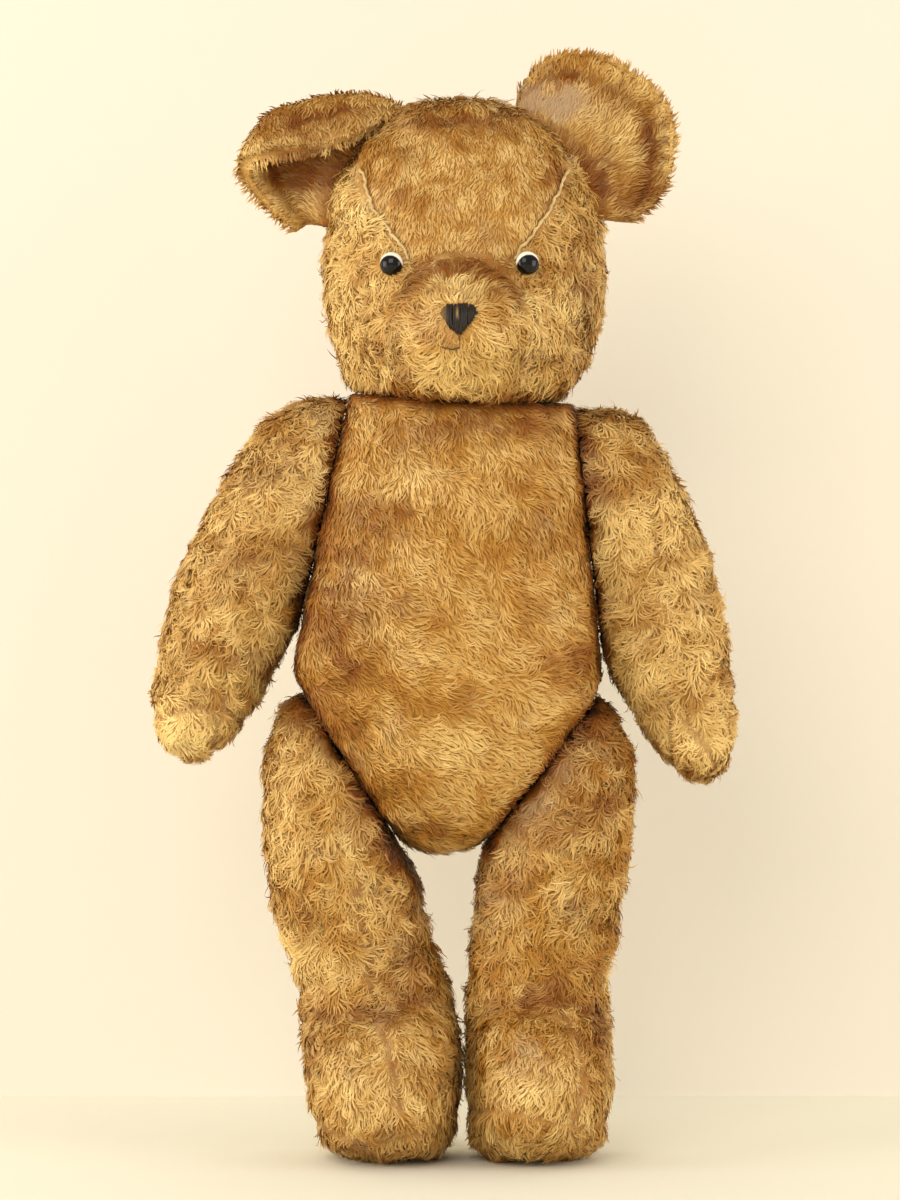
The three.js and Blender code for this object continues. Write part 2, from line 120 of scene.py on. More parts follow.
class BearColours(bpy.types.PropertyGroup):
    # the pale end of tone, which also carries the painted light on lit cheeks, rims, tufts and feet
    tip: colour("Tip", "Palest faded mohair", "#F7D88E")
    gold: colour("Gold", "Deepest gold of the mohair", "#B9832F")
    # painted shade: the colour of the locks towards their roots and of the underfur, where the pile shades
    # itself
    root: colour("Root", "Mohair near the backing, in the shade", "#9C6C31")
    # black-brown painted shade in the gaps between parts and at the ears' bases, with a little real grime
    gap_shade_and_grime: colour("Grime", "Black-brown dirt in the gaps and folds", "#2C1809")
    # brown of old stains, and of the painted shade in creases, folds and hollows
    stain_and_shade: colour("Stain", "Old brown stains", "#82480C")
    backing: colour("Backing", "Grey-brown woven cotton where the pile is gone", "#B49879")
    thread: colour("Thread", "Black cotton of the nose and mouth", "#0D0A08")
    eye_white: colour("Eye white", "Milk glass behind the pupil", "#F2EEE0")
    wall: colour("Wall", "Studio wall", "#E6E1D4")
    floor: colour("Floor", "Studio floor", "#F3F2E4")


# ---------------------------------------------------------------- the bear's pattern, in millimetres

TORSO_BASE = (-10.5, 0.0, 178.0)  # crotch, in the pattern's own frame
TORSO_LEAN = math.radians(2.8)
TORSO_TALL = 259.0


def joint_named(name):
    found = next(j for j in frame["joints"] if j["name"] == name)
    return np.array(found["pos_m"]), np.array(found["axis"])


NECK, NECK_UP = joint_named("neck_turn")
NECK_IN_PATTERN = np.array([TORSO_BASE[0] + TORSO_TALL * math.sin(TORSO_LEAN), 0.0,
                            TORSO_BASE[2] + TORSO_TALL * math.cos(TORSO_LEAN)]) * MM
SHIFT = NECK - NECK_IN_PATTERN  # from the pattern's frame to the frame on the floor

# Stations of the stuffed forms: height, lowest x, highest x, front y and back y of an oval, over the pile.
TORSO = [
    (-4, 0, 0, 0, 0), (0, -18, 18, -22, 20), (14, -38, 38, -44, 40), (44, -66, 66, -61, 54),
    (84, -90, 87, -72, 61), (118, -96, 91, -75, 63), (165, -87, 85, -72, 62), (220, -79, 79, -61, 57),
    (252, -72, 72, -52, 50), (268, -60, 60, -43, 43), (271, 0, 0, 0, 0),
]
HEAD = [
    (-13, 0, 0, 0, 0), (-10, -48, 48, -40, 36), (6, -65, 65, -56, 52), (20, -71, 73, -61, 58),
    (38, -76, 78.5, -65, 64), (58, -80, 82.5, -67, 69), (80, -80.5, 83, -67, 71), (106, -77, 79, -62, 70),
    (132, -68, 69, -53, 62), (154, -50, 50, -40, 47), (169, -22, 22, -18, 22), (173, 0, 0, 0, 0),
]
# A bell that swells the face: its height above the neck, how far it stands out, half width and height.
MUZZLE = {"z": 32, "out": 37, "wide": 42, "tall": 33}
ARMS = {
    "right": [
        (228, -151, -151, 0, 0), (230, -161, -142, -9, 13), (240, -172, -129, -24, 26),
        (264, -177, -113, -33, 34), (300, -171, -93, -38, 36), (345, -158, -70, -38, 36),
        (385, -137, -54, -37, 36), (414, -119, -50, -31, 32), (429, -103, -54, -20, 21),
        (435, -90, -62, -9, 10), (437, -77, -77, 0, 0)],
    "left": [
        (215, 140, 140, 0, 0), (217, 133, 147, -7, 11), (221, 125, 153, -16, 19), (227, 118, 157, -24, 26),
        (250, 102, 160, -32, 32), (290, 81, 156, -38, 36), (335, 66, 148, -39, 36), (380, 54, 132, -37, 36),
        (408, 51, 116, -31, 32), (423, 56, 104, -20, 21), (429, 66, 92, -9, 10), (431, 79, 79, 0, 0)],
}
LEGS = {
    "right": [
        (-1, -42, -42, 10, 10), (0, -58, -25, -6, 28), (4, -70, -10, -32, 34), (12, -79, -2, -58, 39),
        (30, -86, 2.4, -76, 41), (54, -90, 2.8, -73, 41), (76, -92, 2, -57, 39), (96, -93, -3, -37, 38),
        (134, -105, -16, -37, 38), (190, -113, -23, -40, 42), (230, -112, -38, -38, 41),
        (252, -106, -58, -27, 29), (265, -98, -74, -12, 14), (268, -86, -86, 0, 0)],
    "left": [
        (-1, 47, 47, 10, 10), (0, 28, 64, -6, 28), (4, 13, 76, -32, 34), (12, 6, 84, -57, 39),
        (30, 3.6, 89, -75, 41), (54, 3.4, 89.5, -73, 41), (76, 3.2, 88.5, -57, 39), (96, 4, 87, -37, 38),
        (134, 7, 93, -37, 38), (190, 15, 101, -40, 42), (230, 32, 101, -38, 41), (252, 52, 93, -27, 29),
        (265, 66, 84, -12, 14), (268, 75, 75, 0, 0)],
}
# The head's gusset: half its width at each height above the neck, seen from the front.
GUSSET = [(30, 10), (52, 13), (69, 26), (86, 37), (106, 51), (127, 60), (190, 62)]
GUSSET_BACK = [(-30, 22), (60, 34), (190, 58)]
BROW = 75.5  # height of the crease between the eyes, where the forehead's pile meets the muzzle's

# Seams that show from the front, as x and z in the frame.
SEAM_LINES = {
    "right_leg": [[(-51, 160), (-41, 113), (-39, 88), (-31, 72), (-24, 37)],
                  [(-76, 26), (-43, 17), (-3, 25)]],
    "left_leg": [[(49, 90), (69, 85), (76, 72), (78, 54), (74, 32)],
                 [(14, 30), (32, 38), (74, 28), (90, 26)]],
    "left_arm": [[(103, 255), (126, 263), (134, 258), (155, 229)]],
    "right_arm": [[(-158, 256), (-136, 262), (-116, 255)]],
}

# Soft folds across the ankles, in the same way.
FOLDS = {
    "right_leg": [(-88, 80), (-59, 87), (-34, 89), (-16, 94), (6, 88)],
    "left_leg": [(0, 76), (12, 79), (37, 92), (58, 94), (73, 92), (95, 85)],
}

# How much paler or darker than the torso's mohair each form is, all over.
BODY_TONE = {
    "torso": -0.14, "head": 0.02, "left_arm": 0.08, "right_arm": 0.1, "left_leg": -0.12, "right_leg": 0.0,
    "left_ear": 0.0, "right_ear": 0.0}

# An ear is a fan of ribs through its sewn base, its crest and its rim, in the head's frame.
EARS = {
    "left": [
        ((30, 6, 163), (32, 5, 170), (33, 2, 177)), ((37, 6, 160), (45, 8, 181), (50, 0, 195)),
        ((52, 6, 154), (66, 12, 179), (76, 0, 199)), ((65, 6, 145), (88, 14, 170), (104, 0, 185)),
        ((73, 6, 135), (101, 14, 154), (121, 0, 167)), ((78, 6, 124), (104, 12, 135), (123, 0, 143)),
        ((81, 6, 113), (101, 8, 117), (116, 0, 119)), ((82, 6, 103), (91, 4, 102), (99, 1, 101))],
    "right": [
        ((-32, 6, 160), (-35, 2, 166), (-35, -9, 160)), ((-47, 6, 153), (-58, 0, 170), (-58, -19, 148)),
        ((-60, 6, 144), (-83, 0, 168), (-82, -26, 138)), ((-69, 6, 134), (-108, 0, 160), (-106, -27, 135)),
        ((-74, 6, 123), (-117, 4, 146), (-125, -19, 131)), ((-77, 6, 111), (-103, 9, 121), (-117, -6, 114)),
        ((-79, 6, 99), (-88, 5, 101), (-95, -1, 96))],
}
EAR_THICK = {"left": 6.0, "right": 10.0}
EAR_ACROSS, EAR_ALONG = 44, 26
EAR_SHORT = 0.88  # the cloth reaches this share of the way to the rim, and the pile does the rest


PATCH_WANDER = 2.6  # how far the edges of a patch stray
PATCH_GAIN = {"stain_and_shade": 1.5, "tone": 1.35, "bare": 1.0}

# Wear and painted light on the front, by kind, as patches: middle x and z in the frame, half width, half
# height and strength. A stain is brown, and some stains are painted shade in creases, folds and hollows; tone
# is paler where light and hands have faded and rubbed the pile, and some tone patches are painted light on
# the lit tops of the feet and the ear's fold; and bare shows the backing.
WEAR_AND_PAINTED_LIGHT = {
    "torso": {
        "stain_and_shade": [
            (5, 418, 32, 6, 0.5), (48, 418, 18, 6, 0.4), (-24, 408, 10, 8, 0.3),  # the band under the chin
            (-6, 392, 7, 3, 0.4), (-45, 373, 16, 9, 0.5), (-22, 375, 6, 6, 0.35), (-36, 359, 16, 6, 0.4),
            (-52, 347, 14, 6, 0.45), (-57, 332, 13, 3, 0.45), (-60, 325, 17, 4, 0.6),  # side creases, darkened as painted shade
            (-58, 314, 17, 6, 0.5), (-22, 318, 8, 4, 0.35), (-66, 301, 9, 9, 0.45), (-55, 281, 8, 6, 0.5),
            (-18, 285, 3, 11, 0.25), (-62, 270, 11, 7, 0.3), (-50, 251, 8, 5, 0.45), (-10, 192, 16, 5, 0.55),
            (-46, 306, 22, 28, 0.2), (52, 361, 15, 9, 0.25), (62, 315, 14, 3, 0.3), (76, 288, 8, 12, 0.45),
            (75, 271, 6, 4, 0.5), (60, 282, 5, 6, 0.2)],
        "tone": [
            (-43, 338, 10, 4, 0.55), (-38, 324, 9, 3, 0.4), (68, 425, 10, 7, 0.45), (-47, 425, 7, 8, 0.4),
            (24, 300, 30, 17, 0.25), (-26, 304, 13, 6, 0.4), (5, 245, 34, 22, 0.3), (10, 227, 36, 31, 0.35)],
    },
    "right_leg": {
        "stain_and_shade": [
            (-83, 258, 12, 9, 0.5), (-50, 214, 9, 15, 0.35), (-37, 187, 14, 6, 0.5), (-19, 172, 8, 7, 0.5),
            (-40, 160, 7, 6, 0.3), (-86, 141, 15, 4, 0.5), (-16, 119, 9, 11, 0.6), (-30, 108, 8, 5, 0.3),
            (-18, 97, 14, 6, 0.45), (-54, 88, 25, 4, 0.4),  # painted shade above the ankle's fold, and along it
            (-74, 66, 5, 13, 0.45), (-61, 72, 13, 5, 0.3), (-48, 60, 8, 6, 0.3), (-21, 62, 8, 4, 0.3),
            (-32, 26, 9, 3, 0.5)],
        "tone": [
            (-91, 190, 14, 25, 0.5), (-80, 220, 14, 10, 0.2), (-80, 119, 14, 14, 0.45),
            # the last is the top of the foot, painted light where the light falls on it
            (-36, 51, 26, 21, 0.35)],
        "bare": [(-13, 142, 6, 10, 0.4), (-33, 86, 9, 6, 0.45)],
    },
    "left_leg": {
        "stain_and_shade": [
            (90, 260, 10, 11, 0.75), (86, 245, 13, 10, 0.5), (99, 235, 7, 15, 0.45), (72, 246, 8, 8, 0.4),
            (88, 210, 12, 8, 0.5), (79, 196, 12, 8, 0.45), (76, 224, 9, 12, 0.3), (62, 190, 9, 8, 0.25),
            (27, 178, 7, 9, 0.5), (81, 144, 11, 6, 0.45), (60, 106, 11, 6, 0.5), (86, 110, 6, 8, 0.35),
            (50, 95, 21, 4, 0.45), (83, 91, 10, 5, 0.75), (88, 79, 7, 8, 0.8),  # painted shade in the ankle's fold
            (18, 68, 5, 14, 0.35), (66, 73, 5, 5, 0.25)],
        # the first two are the top of the foot, painted light where the light falls on it
        "tone": [(60, 85, 10, 5, 0.75), (49, 47, 27, 22, 0.65), (91, 163, 8, 12, 0.4)],
        "bare": [
            (50, 208, 13, 14, 0.65), (60, 233, 10, 12, 0.8), (38, 192, 8, 8, 0.4), (25, 149, 8, 15, 0.35),
            (48, 63, 11, 8, 0.3)],
    },
    "right_arm": {
        "stain_and_shade": [
            (-98, 397, 19, 5, 0.45), (-88, 409, 10, 5, 0.3), (-112, 388, 12, 3, 0.35),
            (-106, 346, 23, 7, 0.4),
            (-148, 347, 4, 6, 0.5), (-120, 329, 9, 5, 0.3), (-88, 322, 5, 14, 0.25), (-101, 285, 6, 9, 0.65),
            (-115, 292, 11, 5, 0.4), (-136, 296, 11, 4, 0.25), (-139, 268, 9, 3, 0.3),
            (-110, 258, 7, 7, 0.35)],
        "tone": [
            (-154, 245, 19, 19, 0.75), (-132, 371, 9, 6, 0.4), (-110, 379, 12, 5, 0.25),
            (-80, 368, 9, 9, 0.35),
            (-120, 272, 10, 8, 0.25)],
        "bare": [(-73, 427, 9, 7, 0.35), (-69, 375, 5, 13, 0.35)],
    },
    "left_arm": {
        "stain_and_shade": [
            (99, 425, 11, 3, 0.55), (116, 418, 8, 4, 0.5), (83, 410, 5, 10, 0.4), (89, 392, 6, 7, 0.25),
            (113, 405, 6, 5, 0.25), (160, 284, 5, 12, 0.65), (162, 255, 3, 9, 0.35), (152, 330, 3, 9, 0.35),
            (133, 222, 12, 7, 0.85), (149, 218, 8, 4, 0.7), (114, 243, 5, 9, 0.5)],  # the paw's dirty edge
        "tone": [
            (120, 363, 18, 28, 0.3), (112, 299, 15, 22, 0.3), (127, 240, 11, 9, 0.4),
            (142, 248, 18, 22, 0.45)],
        "bare": [(95, 321, 6, 11, 0.3)],
    },
    "head": {
        "stain_and_shade": [
            (8, 593, 30, 6, 0.4), (34, 594, 9, 5, 0.5), (64, 558, 6, 14, 0.7), (-23, 571, 9, 8, 0.25),
            (8, 504, 24, 5, 0.5), (-15, 495, 8, 8, 0.45), (36, 491, 8, 10, 0.4),  # across and down the muzzle
            (-24, 470, 5, 6, 0.45), (-18, 458, 6, 4, 0.5), (-39, 462, 13, 4, 0.4), (-39, 482, 8, 3, 0.3),
            (81, 500, 7, 4, 0.65), (80, 507, 5, 7, 0.35), (82, 483, 5, 10, 0.5), (76, 475, 9, 4, 0.4),
            (56, 459, 11, 6, 0.4), (82, 459, 4, 10, 0.4), (75, 521, 6, 11, 0.2), (-53, 490, 5, 9, 0.3),
            (-1, 440, 15, 3, 0.4), (49, 438, 14, 4, 0.4), (-30, 447, 13, 3, 0.35)],
        "tone": [
            (8, 492, 10, 4, 0.9), (-24, 476, 16, 7, 0.3), (-46, 549, 10, 13, 0.5), (-55, 487, 9, 17, 0.5),
            (9, 444, 17, 12, 0.6), (-17, 465, 7, 9, 0.45), (35, 466, 13, 13, 0.35), (66, 488, 11, 8, 0.4),
            (-35, 451, 14, 6, 0.5)],
    },
    "right_ear": {
        "stain_and_shade": [
            (-81, 594, 11, 6, 0.65), (-60, 603, 6, 5, 0.8), (-64, 595, 22, 8, 0.25), (-98, 578, 6, 6, 0.3),
            (-82, 567, 20, 13, 1), (-78, 566, 15, 12, 0.9)],  # the pocket under the fold, darkened as painted shade
        # the first is a painted highlight along the fold's lower edge
        "tone": [(-85, 546, 17, 9, 0.35), (-110, 572, 6, 16, 0.5), (-68, 581, 19, 3, 0.5)],
        "bare": [(-69, 566, 8, 15, 0.3)],
    },
    "left_ear": {
        "stain_and_shade": [
            # the third is painted shadow along the ear's inner lower edge
            (71, 621, 7, 5, 0.6), (120, 583, 6, 19, 0.6), (91, 565, 8, 17, 0.6), (112, 554, 9, 7, 0.35),
            (99, 610, 8, 7, 0.3)],
        "tone": [(102, 589, 9, 15, 0.4), (129, 572, 3, 17, 0.5)],
        "bare": [(66, 607, 20, 11, 0.95), (50, 608, 9, 6, 0.7)],  # rubbed to the cotton at its base
    },
}


# ---------------------------------------------------------------- shared arithmetic


def hermite(at, values, where):
    """Cubic pieces through a table's rows, whose slope at each row is the mean slope of its neighbours."""
    slopes = np.gradient(values, at, axis=0)
    i = np.clip(np.searchsorted(at, where, side="right") - 1, 0, len(at) - 2)
    span = (at[i + 1] - at[i])[:, None]
    t = ((where - at[i]) / span[:, 0])[:, None]
    return ((2 * t**3 - 3 * t**2 + 1) * values[i] + (t**3 - 2 * t**2 + t) * span * slopes[i]
            + (3 * t**2 - 2 * t**3) * values[i + 1] + (t**3 - t**2) * span * slopes[i + 1])


def smooth_rows(table, count):
    """Cubic curves through a table's rows, sampled evenly along their own length."""
    table = np.asarray(table, float)
    at = np.concatenate(([0.0], np.cumsum(np.linalg.norm(np.diff(table, axis=0), axis=1))))
    dense = np.linspace(0, at[-1], count * 12)
    length_so_far = np.cumsum(np.linalg.norm(np.diff(hermite(at, table, dense), axis=0), axis=1))
    length_so_far = np.concatenate(([0.0], length_so_far))
    even = np.interp(np.linspace(0, length_so_far[-1], count), length_so_far, dense)
    return hermite(at, table, even)


def unit(vectors):
    return vectors / np.maximum(np.linalg.norm(vectors, axis=-1, keepdims=True), 1e-12)


def ramp(values, low, high):
    """0 below low, 1 above high, and a smooth step between."""
    t = np.clip((values - low) / (high - low), 0, 1)
    return t * t * (3 - 2 * t)


def fade(distance, reach, power=2):
    """1 where the distance is 0, falling off as a bell, steeper-sided for a higher power."""
    return np.exp(-((distance / reach) ** power))


class Waves:
    """Smooth noise: the sum of sine waves of about one length in directions drawn from a seed."""

    def __init__(self, size, seed, count=20):
        rng = np.random.default_rng(seed)
        spread = rng.uniform(0.7, 1.5, count)
        self.k = unit(rng.normal(size=(count, 3))).T * spread * 2 * math.pi / size
        self.phase = rng.uniform(0, 2 * math.pi, count)
        self.scale = math.sqrt(2 / count)

    def value(self, points):
        return np.sin(points @ self.k + self.phase).sum(axis=1) * self.scale

    def slope(self, points):
        """The noise's gradient, times its wave length, so that it is about 1 in size."""
        return np.cos(points @ self.k + self.phase) @ self.k.T * self.scale / np.abs(self.k).max()


def noise_at(size, seed, points):
    """Smooth noise at each point, of one wave length in millimetres."""
    return Waves(size * MM, seed).value(points)


# ---------------------------------------------------------------- meshes


def closed_rows(rows):
    """Quads between the rows of a grid whose first and last rows are poles, as points and faces."""
    count, around = rows.shape[:2]
    points = np.concatenate((rows[0, :1], rows[1:-1].reshape(-1, 3), rows[-1, :1]))
    i = np.arange(around)
    j = (i + 1) % around
    start = 1 + around * np.arange(count - 3)[:, None]
    quads = np.stack((start + i, start + j, start + j + around, start + i + around), axis=-1).reshape(-1, 4)
    last = 1 + around * (count - 3)
    top = len(points) - 1
    fans = [(0, 1 + b, 1 + a) for a, b in zip(i, j)] + [(last + a, last + b, top) for a, b in zip(i, j)]
    return points, quads.tolist() + fans


def placed(name, data):
    """A new object in the scene that shows the given mesh, light or camera."""
    thing = bpy.data.objects.new(name, data)
    bpy.context.scene.collection.objects.link(thing)
    return thing


def new_object(name, points, faces):
    mesh = bpy.data.meshes.new(name)
    mesh.from_pydata(points.tolist(), [], faces)
    mesh.update()
    mesh.shade_smooth()
    return placed(name, mesh)


def vertex_numbers(mesh, key):
    numbers = np.empty(len(mesh.vertices) * 3)
    mesh.vertices.foreach_get(key, numbers)
    return numbers.reshape(-1, 3)


def points_of(mesh):
    return vertex_numbers(mesh, "co")


def normals_of(mesh):
    return vertex_numbers(mesh, "normal")


def triangles_of(mesh):
    """The three vertices of each of a mesh's triangles."""
    mesh.calc_loop_triangles()
    corners = np.empty(len(mesh.loop_triangles) * 3, np.int32)
    mesh.loop_triangles.foreach_get("vertices", corners)
    return corners.reshape(-1, 3)


def set_points(mesh, points):
    mesh.vertices.foreach_set("co", points.ravel())
    mesh.update()


def add_attribute(mesh, name, values):
    layer = mesh.attributes.new(name, "FLOAT", "POINT")
    layer.data.foreach_set("value", values.astype(np.float32))


def finished(piece, body, slot, material, *nodes):
    """Gives a piece its material and body, and hides the nodes that it stands for. The slot is not used."""
    piece.data.materials.append(material)
    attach(piece, body)
    if nodes:
        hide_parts(*nodes)
    return piece


# ---------------------------------------------------------------- materials


def add_node(material, kind, inputs=None, **settings):
    """Adds a shader node with its settings and links. An input is a value or another node's output."""
    tree = material.node_tree
    node = tree.nodes.new(kind)
    for key, value in settings.items():
        setattr(node, key, value)
    for key, value in (inputs or {}).items():
        if isinstance(value, bpy.types.NodeSocket):
            tree.links.new(value, node.inputs[key])
        elif isinstance(value, tuple) and len(value) == 3 and node.inputs[key].type == "RGBA":
            node.inputs[key].default_value = (*value, 1)
        else:
            node.inputs[key].default_value = value
    return node


def new_material(name):
    material = bpy.data.materials.new(name)
    material.use_nodes = True
    material.node_tree.nodes.clear()
    return material


def surface(material, base, roughness, extra=None, bump=None):
    """A principled surface. Extra holds its other inputs, and bump a height, its strength and its depth."""
    inputs = {"Base Color": base, "Roughness": roughness, **(extra or {})}
    if bump:
        height, strength, deep = bump
        inputs["Normal"] = add_node(material, "ShaderNodeBump", {
            "Height": height, "Strength": strength, "Distance": deep}).outputs[0]
    return add_node(material, "ShaderNodeBsdfPrincipled", inputs)


def finish_material(material, shader):
    add_node(material, "ShaderNodeOutputMaterial", {"Surface": shader.outputs[0]})
    return material


def from_mesh(material, *names):
    """The numbers that the mesh carries under these names, one output for each."""
    return [add_node(material, "ShaderNodeAttribute", attribute_name=name).outputs["Fac"] for name in names]


def noise(material, size, detail=2.0, squeeze=1.0):
    """Noise in Object coordinates with grains of one size, which a squeeze under 1 draws out along z."""
    place = add_node(material, "ShaderNodeTexCoord").outputs["Object"]
    squeezed = add_node(material, "ShaderNodeMapping", {"Vector": place, "Scale": (1, 1, squeeze)})
    return add_node(material, "ShaderNodeTexNoise", {
        "Vector": squeezed.outputs[0], "Scale": 1 / size, "Detail": detail}).outputs[0]


def mix(material, factor, a, b):
    """The colour a turned into b as the factor goes from 0 to 1. Each is a colour or a node's output."""
    node = add_node(material, "ShaderNodeMix", data_type="RGBA")
    for key, value in ((0, factor), (6, a), (7, b)):
        if isinstance(value, bpy.types.NodeSocket):
            material.node_tree.links.new(value, node.inputs[key])
        else:
            node.inputs[key].default_value = (*value, 1)
    return node.outputs[2]


def stained_and_shaded(material, clean, stain_and_shade, colours):
    """The clean colour turned brown as stain and painted shade go from 0 to 1, and nearly black as they go on
    to 2, which is the painted shade in the gaps between parts and at the ears' bases, with a little grime.
    """
    brown = mix(material, stain_and_shade, clean, colours.stain_and_shade)
    deep = add_node(material, "ShaderNodeMapRange", {"Value": stain_and_shade, "From Min": 1.0, "From Max": 2.0})
    return mix(material, deep.outputs[0], brown, colours.gap_shade_and_grime)


def mohair(colours):
    """Mohair pile: goat hair, silky when new, here faded at its tips, and painted darker towards its roots as
    the shade within the pile.

    The lock's own numbers come from its mesh: along is 0 at the root and 1 at the tip, tone is the lock's
    place between gold and pale, with painted light on lit tufts, cheeks, rims and feet, stain is old dirt
    together with painted shade in gaps, creases, folds and hollows, and bare shows the backing where the pile
    is rubbed thin.
    """
    m = new_material("mohair_pile")
    along, tone, stain_and_shade, bare = from_mesh(m, "along", "tone", "stain_and_shade", "bare")
    # painted shade: each lock darkens to the root colour towards its root
    lit = add_node(m, "ShaderNodeMapRange", {"Value": along, "From Min": -0.25, "From Max": 0.3})
    body = mix(m, tone, colours.gold, colours.tip)
    pile = mix(m, bare, mix(m, lit.outputs[0], colours.root, body), colours.backing)
    return finish_material(m, surface(m, stained_and_shaded(m, pile, stain_and_shade, colours), 0.55, {
        "Specular IOR Level": 0.35, "Sheen Weight": 0.15, "Sheen Roughness": 0.4,
        "Sheen Tint": tuple(colours.tip)}))


def matted_underfur(colours):
    """The short matted wool under the locks, with the woven cotton backing where it is rubbed through: as
    gold as the pile here, a little darker as painted shade under the locks, streaked with fine hairs. A real
    hair is 0.05 mm wide, and is drawn 1 mm wide so that it shows."""
    m = new_material("matted_underfur")
    hairs = noise(m, 1 * MM, squeeze=0.3)
    tone, stain_and_shade, bare = from_mesh(m, "tone", "stain_and_shade", "bare")
    wool = mix(m, tone, colours.gold, colours.tip)
    shade = mix(m, bare, mix(m, hairs, colours.root, wool), colours.backing)
    return finish_material(m, surface(m, stained_and_shaded(m, shade, stain_and_shade, colours), 0.9, {
        "Specular IOR Level": 0.2}, bump=(hairs, 0.8, 0.6 * MM)))


def cotton_floss(colours):
    """Black cotton floss in satin stitch: slightly glossy along the strand, faded where it is rubbed."""
    m = new_material("cotton_floss")
    fibres = noise(m, 0.5 * MM, squeeze=0.15)
    dark = mix(m, fibres, colours.thread, linear("#2A201A"))
    shade = mix(m, from_mesh(m, "worn")[0], dark, linear("#B79355"))
    return finish_material(m, surface(m, shade, 0.5, {"Specular IOR Level": 0.3}, (fibres, 0.5, 0.2 * MM)))


def eye_glass(colours):
    """Painted glass button: a glossy black pupil on milk glass."""
    m = new_material("painted_glass")
    shade = mix(m, from_mesh(m, "pupil")[0], colours.eye_white, linear("#060504"))
    return finish_material(m, surface(m, shade, 0.14, {"Specular IOR Level": 0.3}))


def seam_cotton():
    """Cotton edge of the backing, standing up in the seam: pale cream, dull and a little soiled."""
    m = new_material("cotton_selvedge")
    shade = mix(m, noise(m, 5 * MM, 3.0), linear("#E8D09A"), linear("#AD8444"))
    return finish_material(m, surface(m, shade, 0.9, bump=(noise(m, 0.7 * MM), 0.6, 0.3 * MM)))


def hardboard():
    """Pressed fibreboard: dull brown, with short fibres."""
    m = new_material("pressed_hardboard")
    fibre = noise(m, 1.5 * MM, 4.0)
    shade = mix(m, fibre, linear("#4E3420"), linear("#8A6440"))
    return finish_material(m, surface(m, shade, 0.85, bump=(fibre, 0.3, 0.2 * MM)))


def dull_steel():
    """Plain steel washer and pin stock: grey, with a little brown tarnish."""
    m = new_material("dull_steel")
    tarnish = noise(m, 4 * MM, 3.0)
    spots = add_node(m, "ShaderNodeMapRange", {"Value": tarnish, "From Min": 0.5, "From Max": 0.7})
    shade = mix(m, spots.outputs[0], linear("#9A9A97"), linear("#6B4F38"))
    return finish_material(m, surface(m, shade, 0.42, {"Metallic": 1.0}))


def studio_paint(name, shade, see_through_behind=False):
    """Matt paint; a wall's back can be left clear, so that the bear shows from behind it."""
    m = new_material(name)
    skin = surface(m, tuple(shade), 0.9, {"Specular IOR Level": 0.1})
    if see_through_behind:
        behind = add_node(m, "ShaderNodeNewGeometry").outputs["Backfacing"]
        clear = add_node(m, "ShaderNodeBsdfTransparent")
        skin = add_node(m, "ShaderNodeMixShader", {0: behind, 1: skin.outputs[0], 2: clear.outputs[0]})
    return finish_material(m, skin)


# ---------------------------------------------------------------- stuffed covers


def oval_rows(stations, around, rows, inset):
    """Slightly squared ovals along an axis: cubic curves give each height's half widths and depths, and a
    point of the oval is the half width times the cosine, and the depth times the sine, of its turn, each
    raised to a power just under 1."""
    table = np.array(stations, float)
    table[1:-1] += np.array([0, inset, -inset, inset, -inset])
    table[0, 0] += inset
    table[-1, 0] -= inset
    z, low, high, front, back = smooth_rows(table, rows).T[:, :, None]
    turn = np.linspace(0, 2 * math.pi, around, endpoint=False)
    squared = 2 / 2.25
    across = np.sign(np.cos(turn)) * np.abs(np.cos(turn)) ** squared
    deep = np.sign(np.sin(turn)) * np.abs(np.sin(turn)) ** squared
    x = (low + high) / 2 + (high - low) / 2 * across
    y = np.where(deep < 0, -front, back) * deep
    return np.stack((x, y, np.broadcast_to(z, x.shape)), axis=-1) * MM


def lean(points):
    """Turns the torso's own frame by its lean and sets it on its base."""
    c, s = math.cos(TORSO_LEAN), math.sin(TORSO_LEAN)
    x, y, z = np.moveaxis(points, -1, 0)
    return np.stack((c * x + s * z, y, c * z - s * x), axis=-1) + np.array(TORSO_BASE) * MM + SHIFT


def swell_muzzle(points):
    """Pushes the face forward by a rounded bell around the nose."""
    m = MUZZLE
    fall = (points[..., 0] / MM / m["wide"]) ** 2 + ((points[..., 2] / MM - m["z"]) / m["tall"]) ** 2
    moved = points.copy()
    moved[..., 1] -= np.where(points[..., 1] < 0, m["out"] * MM * np.exp(-fall**1.3), 0)
    return moved


def press(points, planes, gap):
    """Keeps points behind each plane: a soft maximum of 0 and the distance past the plane is taken off."""
    soft = 0.8 * MM
    for point, normal in planes:
        past = (points - point) @ normal + gap
        points = points - ((past + np.sqrt(past**2 + soft**2)) / 2)[..., None] * normal
    return points


def outward(joint):
    """A joint's place, and its direction out of the torso."""
    place, axis = joint_named(joint)
    if joint != "neck_turn":
        axis = axis * np.sign(axis[0]) * SIDE[joint.split("_")[0]]
    return place, axis


LIMB_GAP = 0.5 * MM  # from the torso's side of a joint to the limb's
LIMB_JOINTS = {"head": "neck_turn", "left_arm": "left_shoulder_swing", "right_arm": "right_shoulder_swing",
               "left_leg": "left_hip_swing", "right_leg": "right_hip_swing"}


def planes_of(body):
    """The planes that a body's cover is pressed against, with normals out of the cover."""
    if body == "torso":
        return [outward(joint) for joint in LIMB_JOINTS.values()]
    place, normal = outward(LIMB_JOINTS[body])
    return [(place + normal * LIMB_GAP, -normal)]


# Metres of grid round each form and along it, which with the grid's spacing give its number of points.
GRID_SPAN = {"torso": (0.48, 0.4), "head": (0.5, 0.33), "arm": (0.22, 0.31), "leg": (0.27, 0.39)}


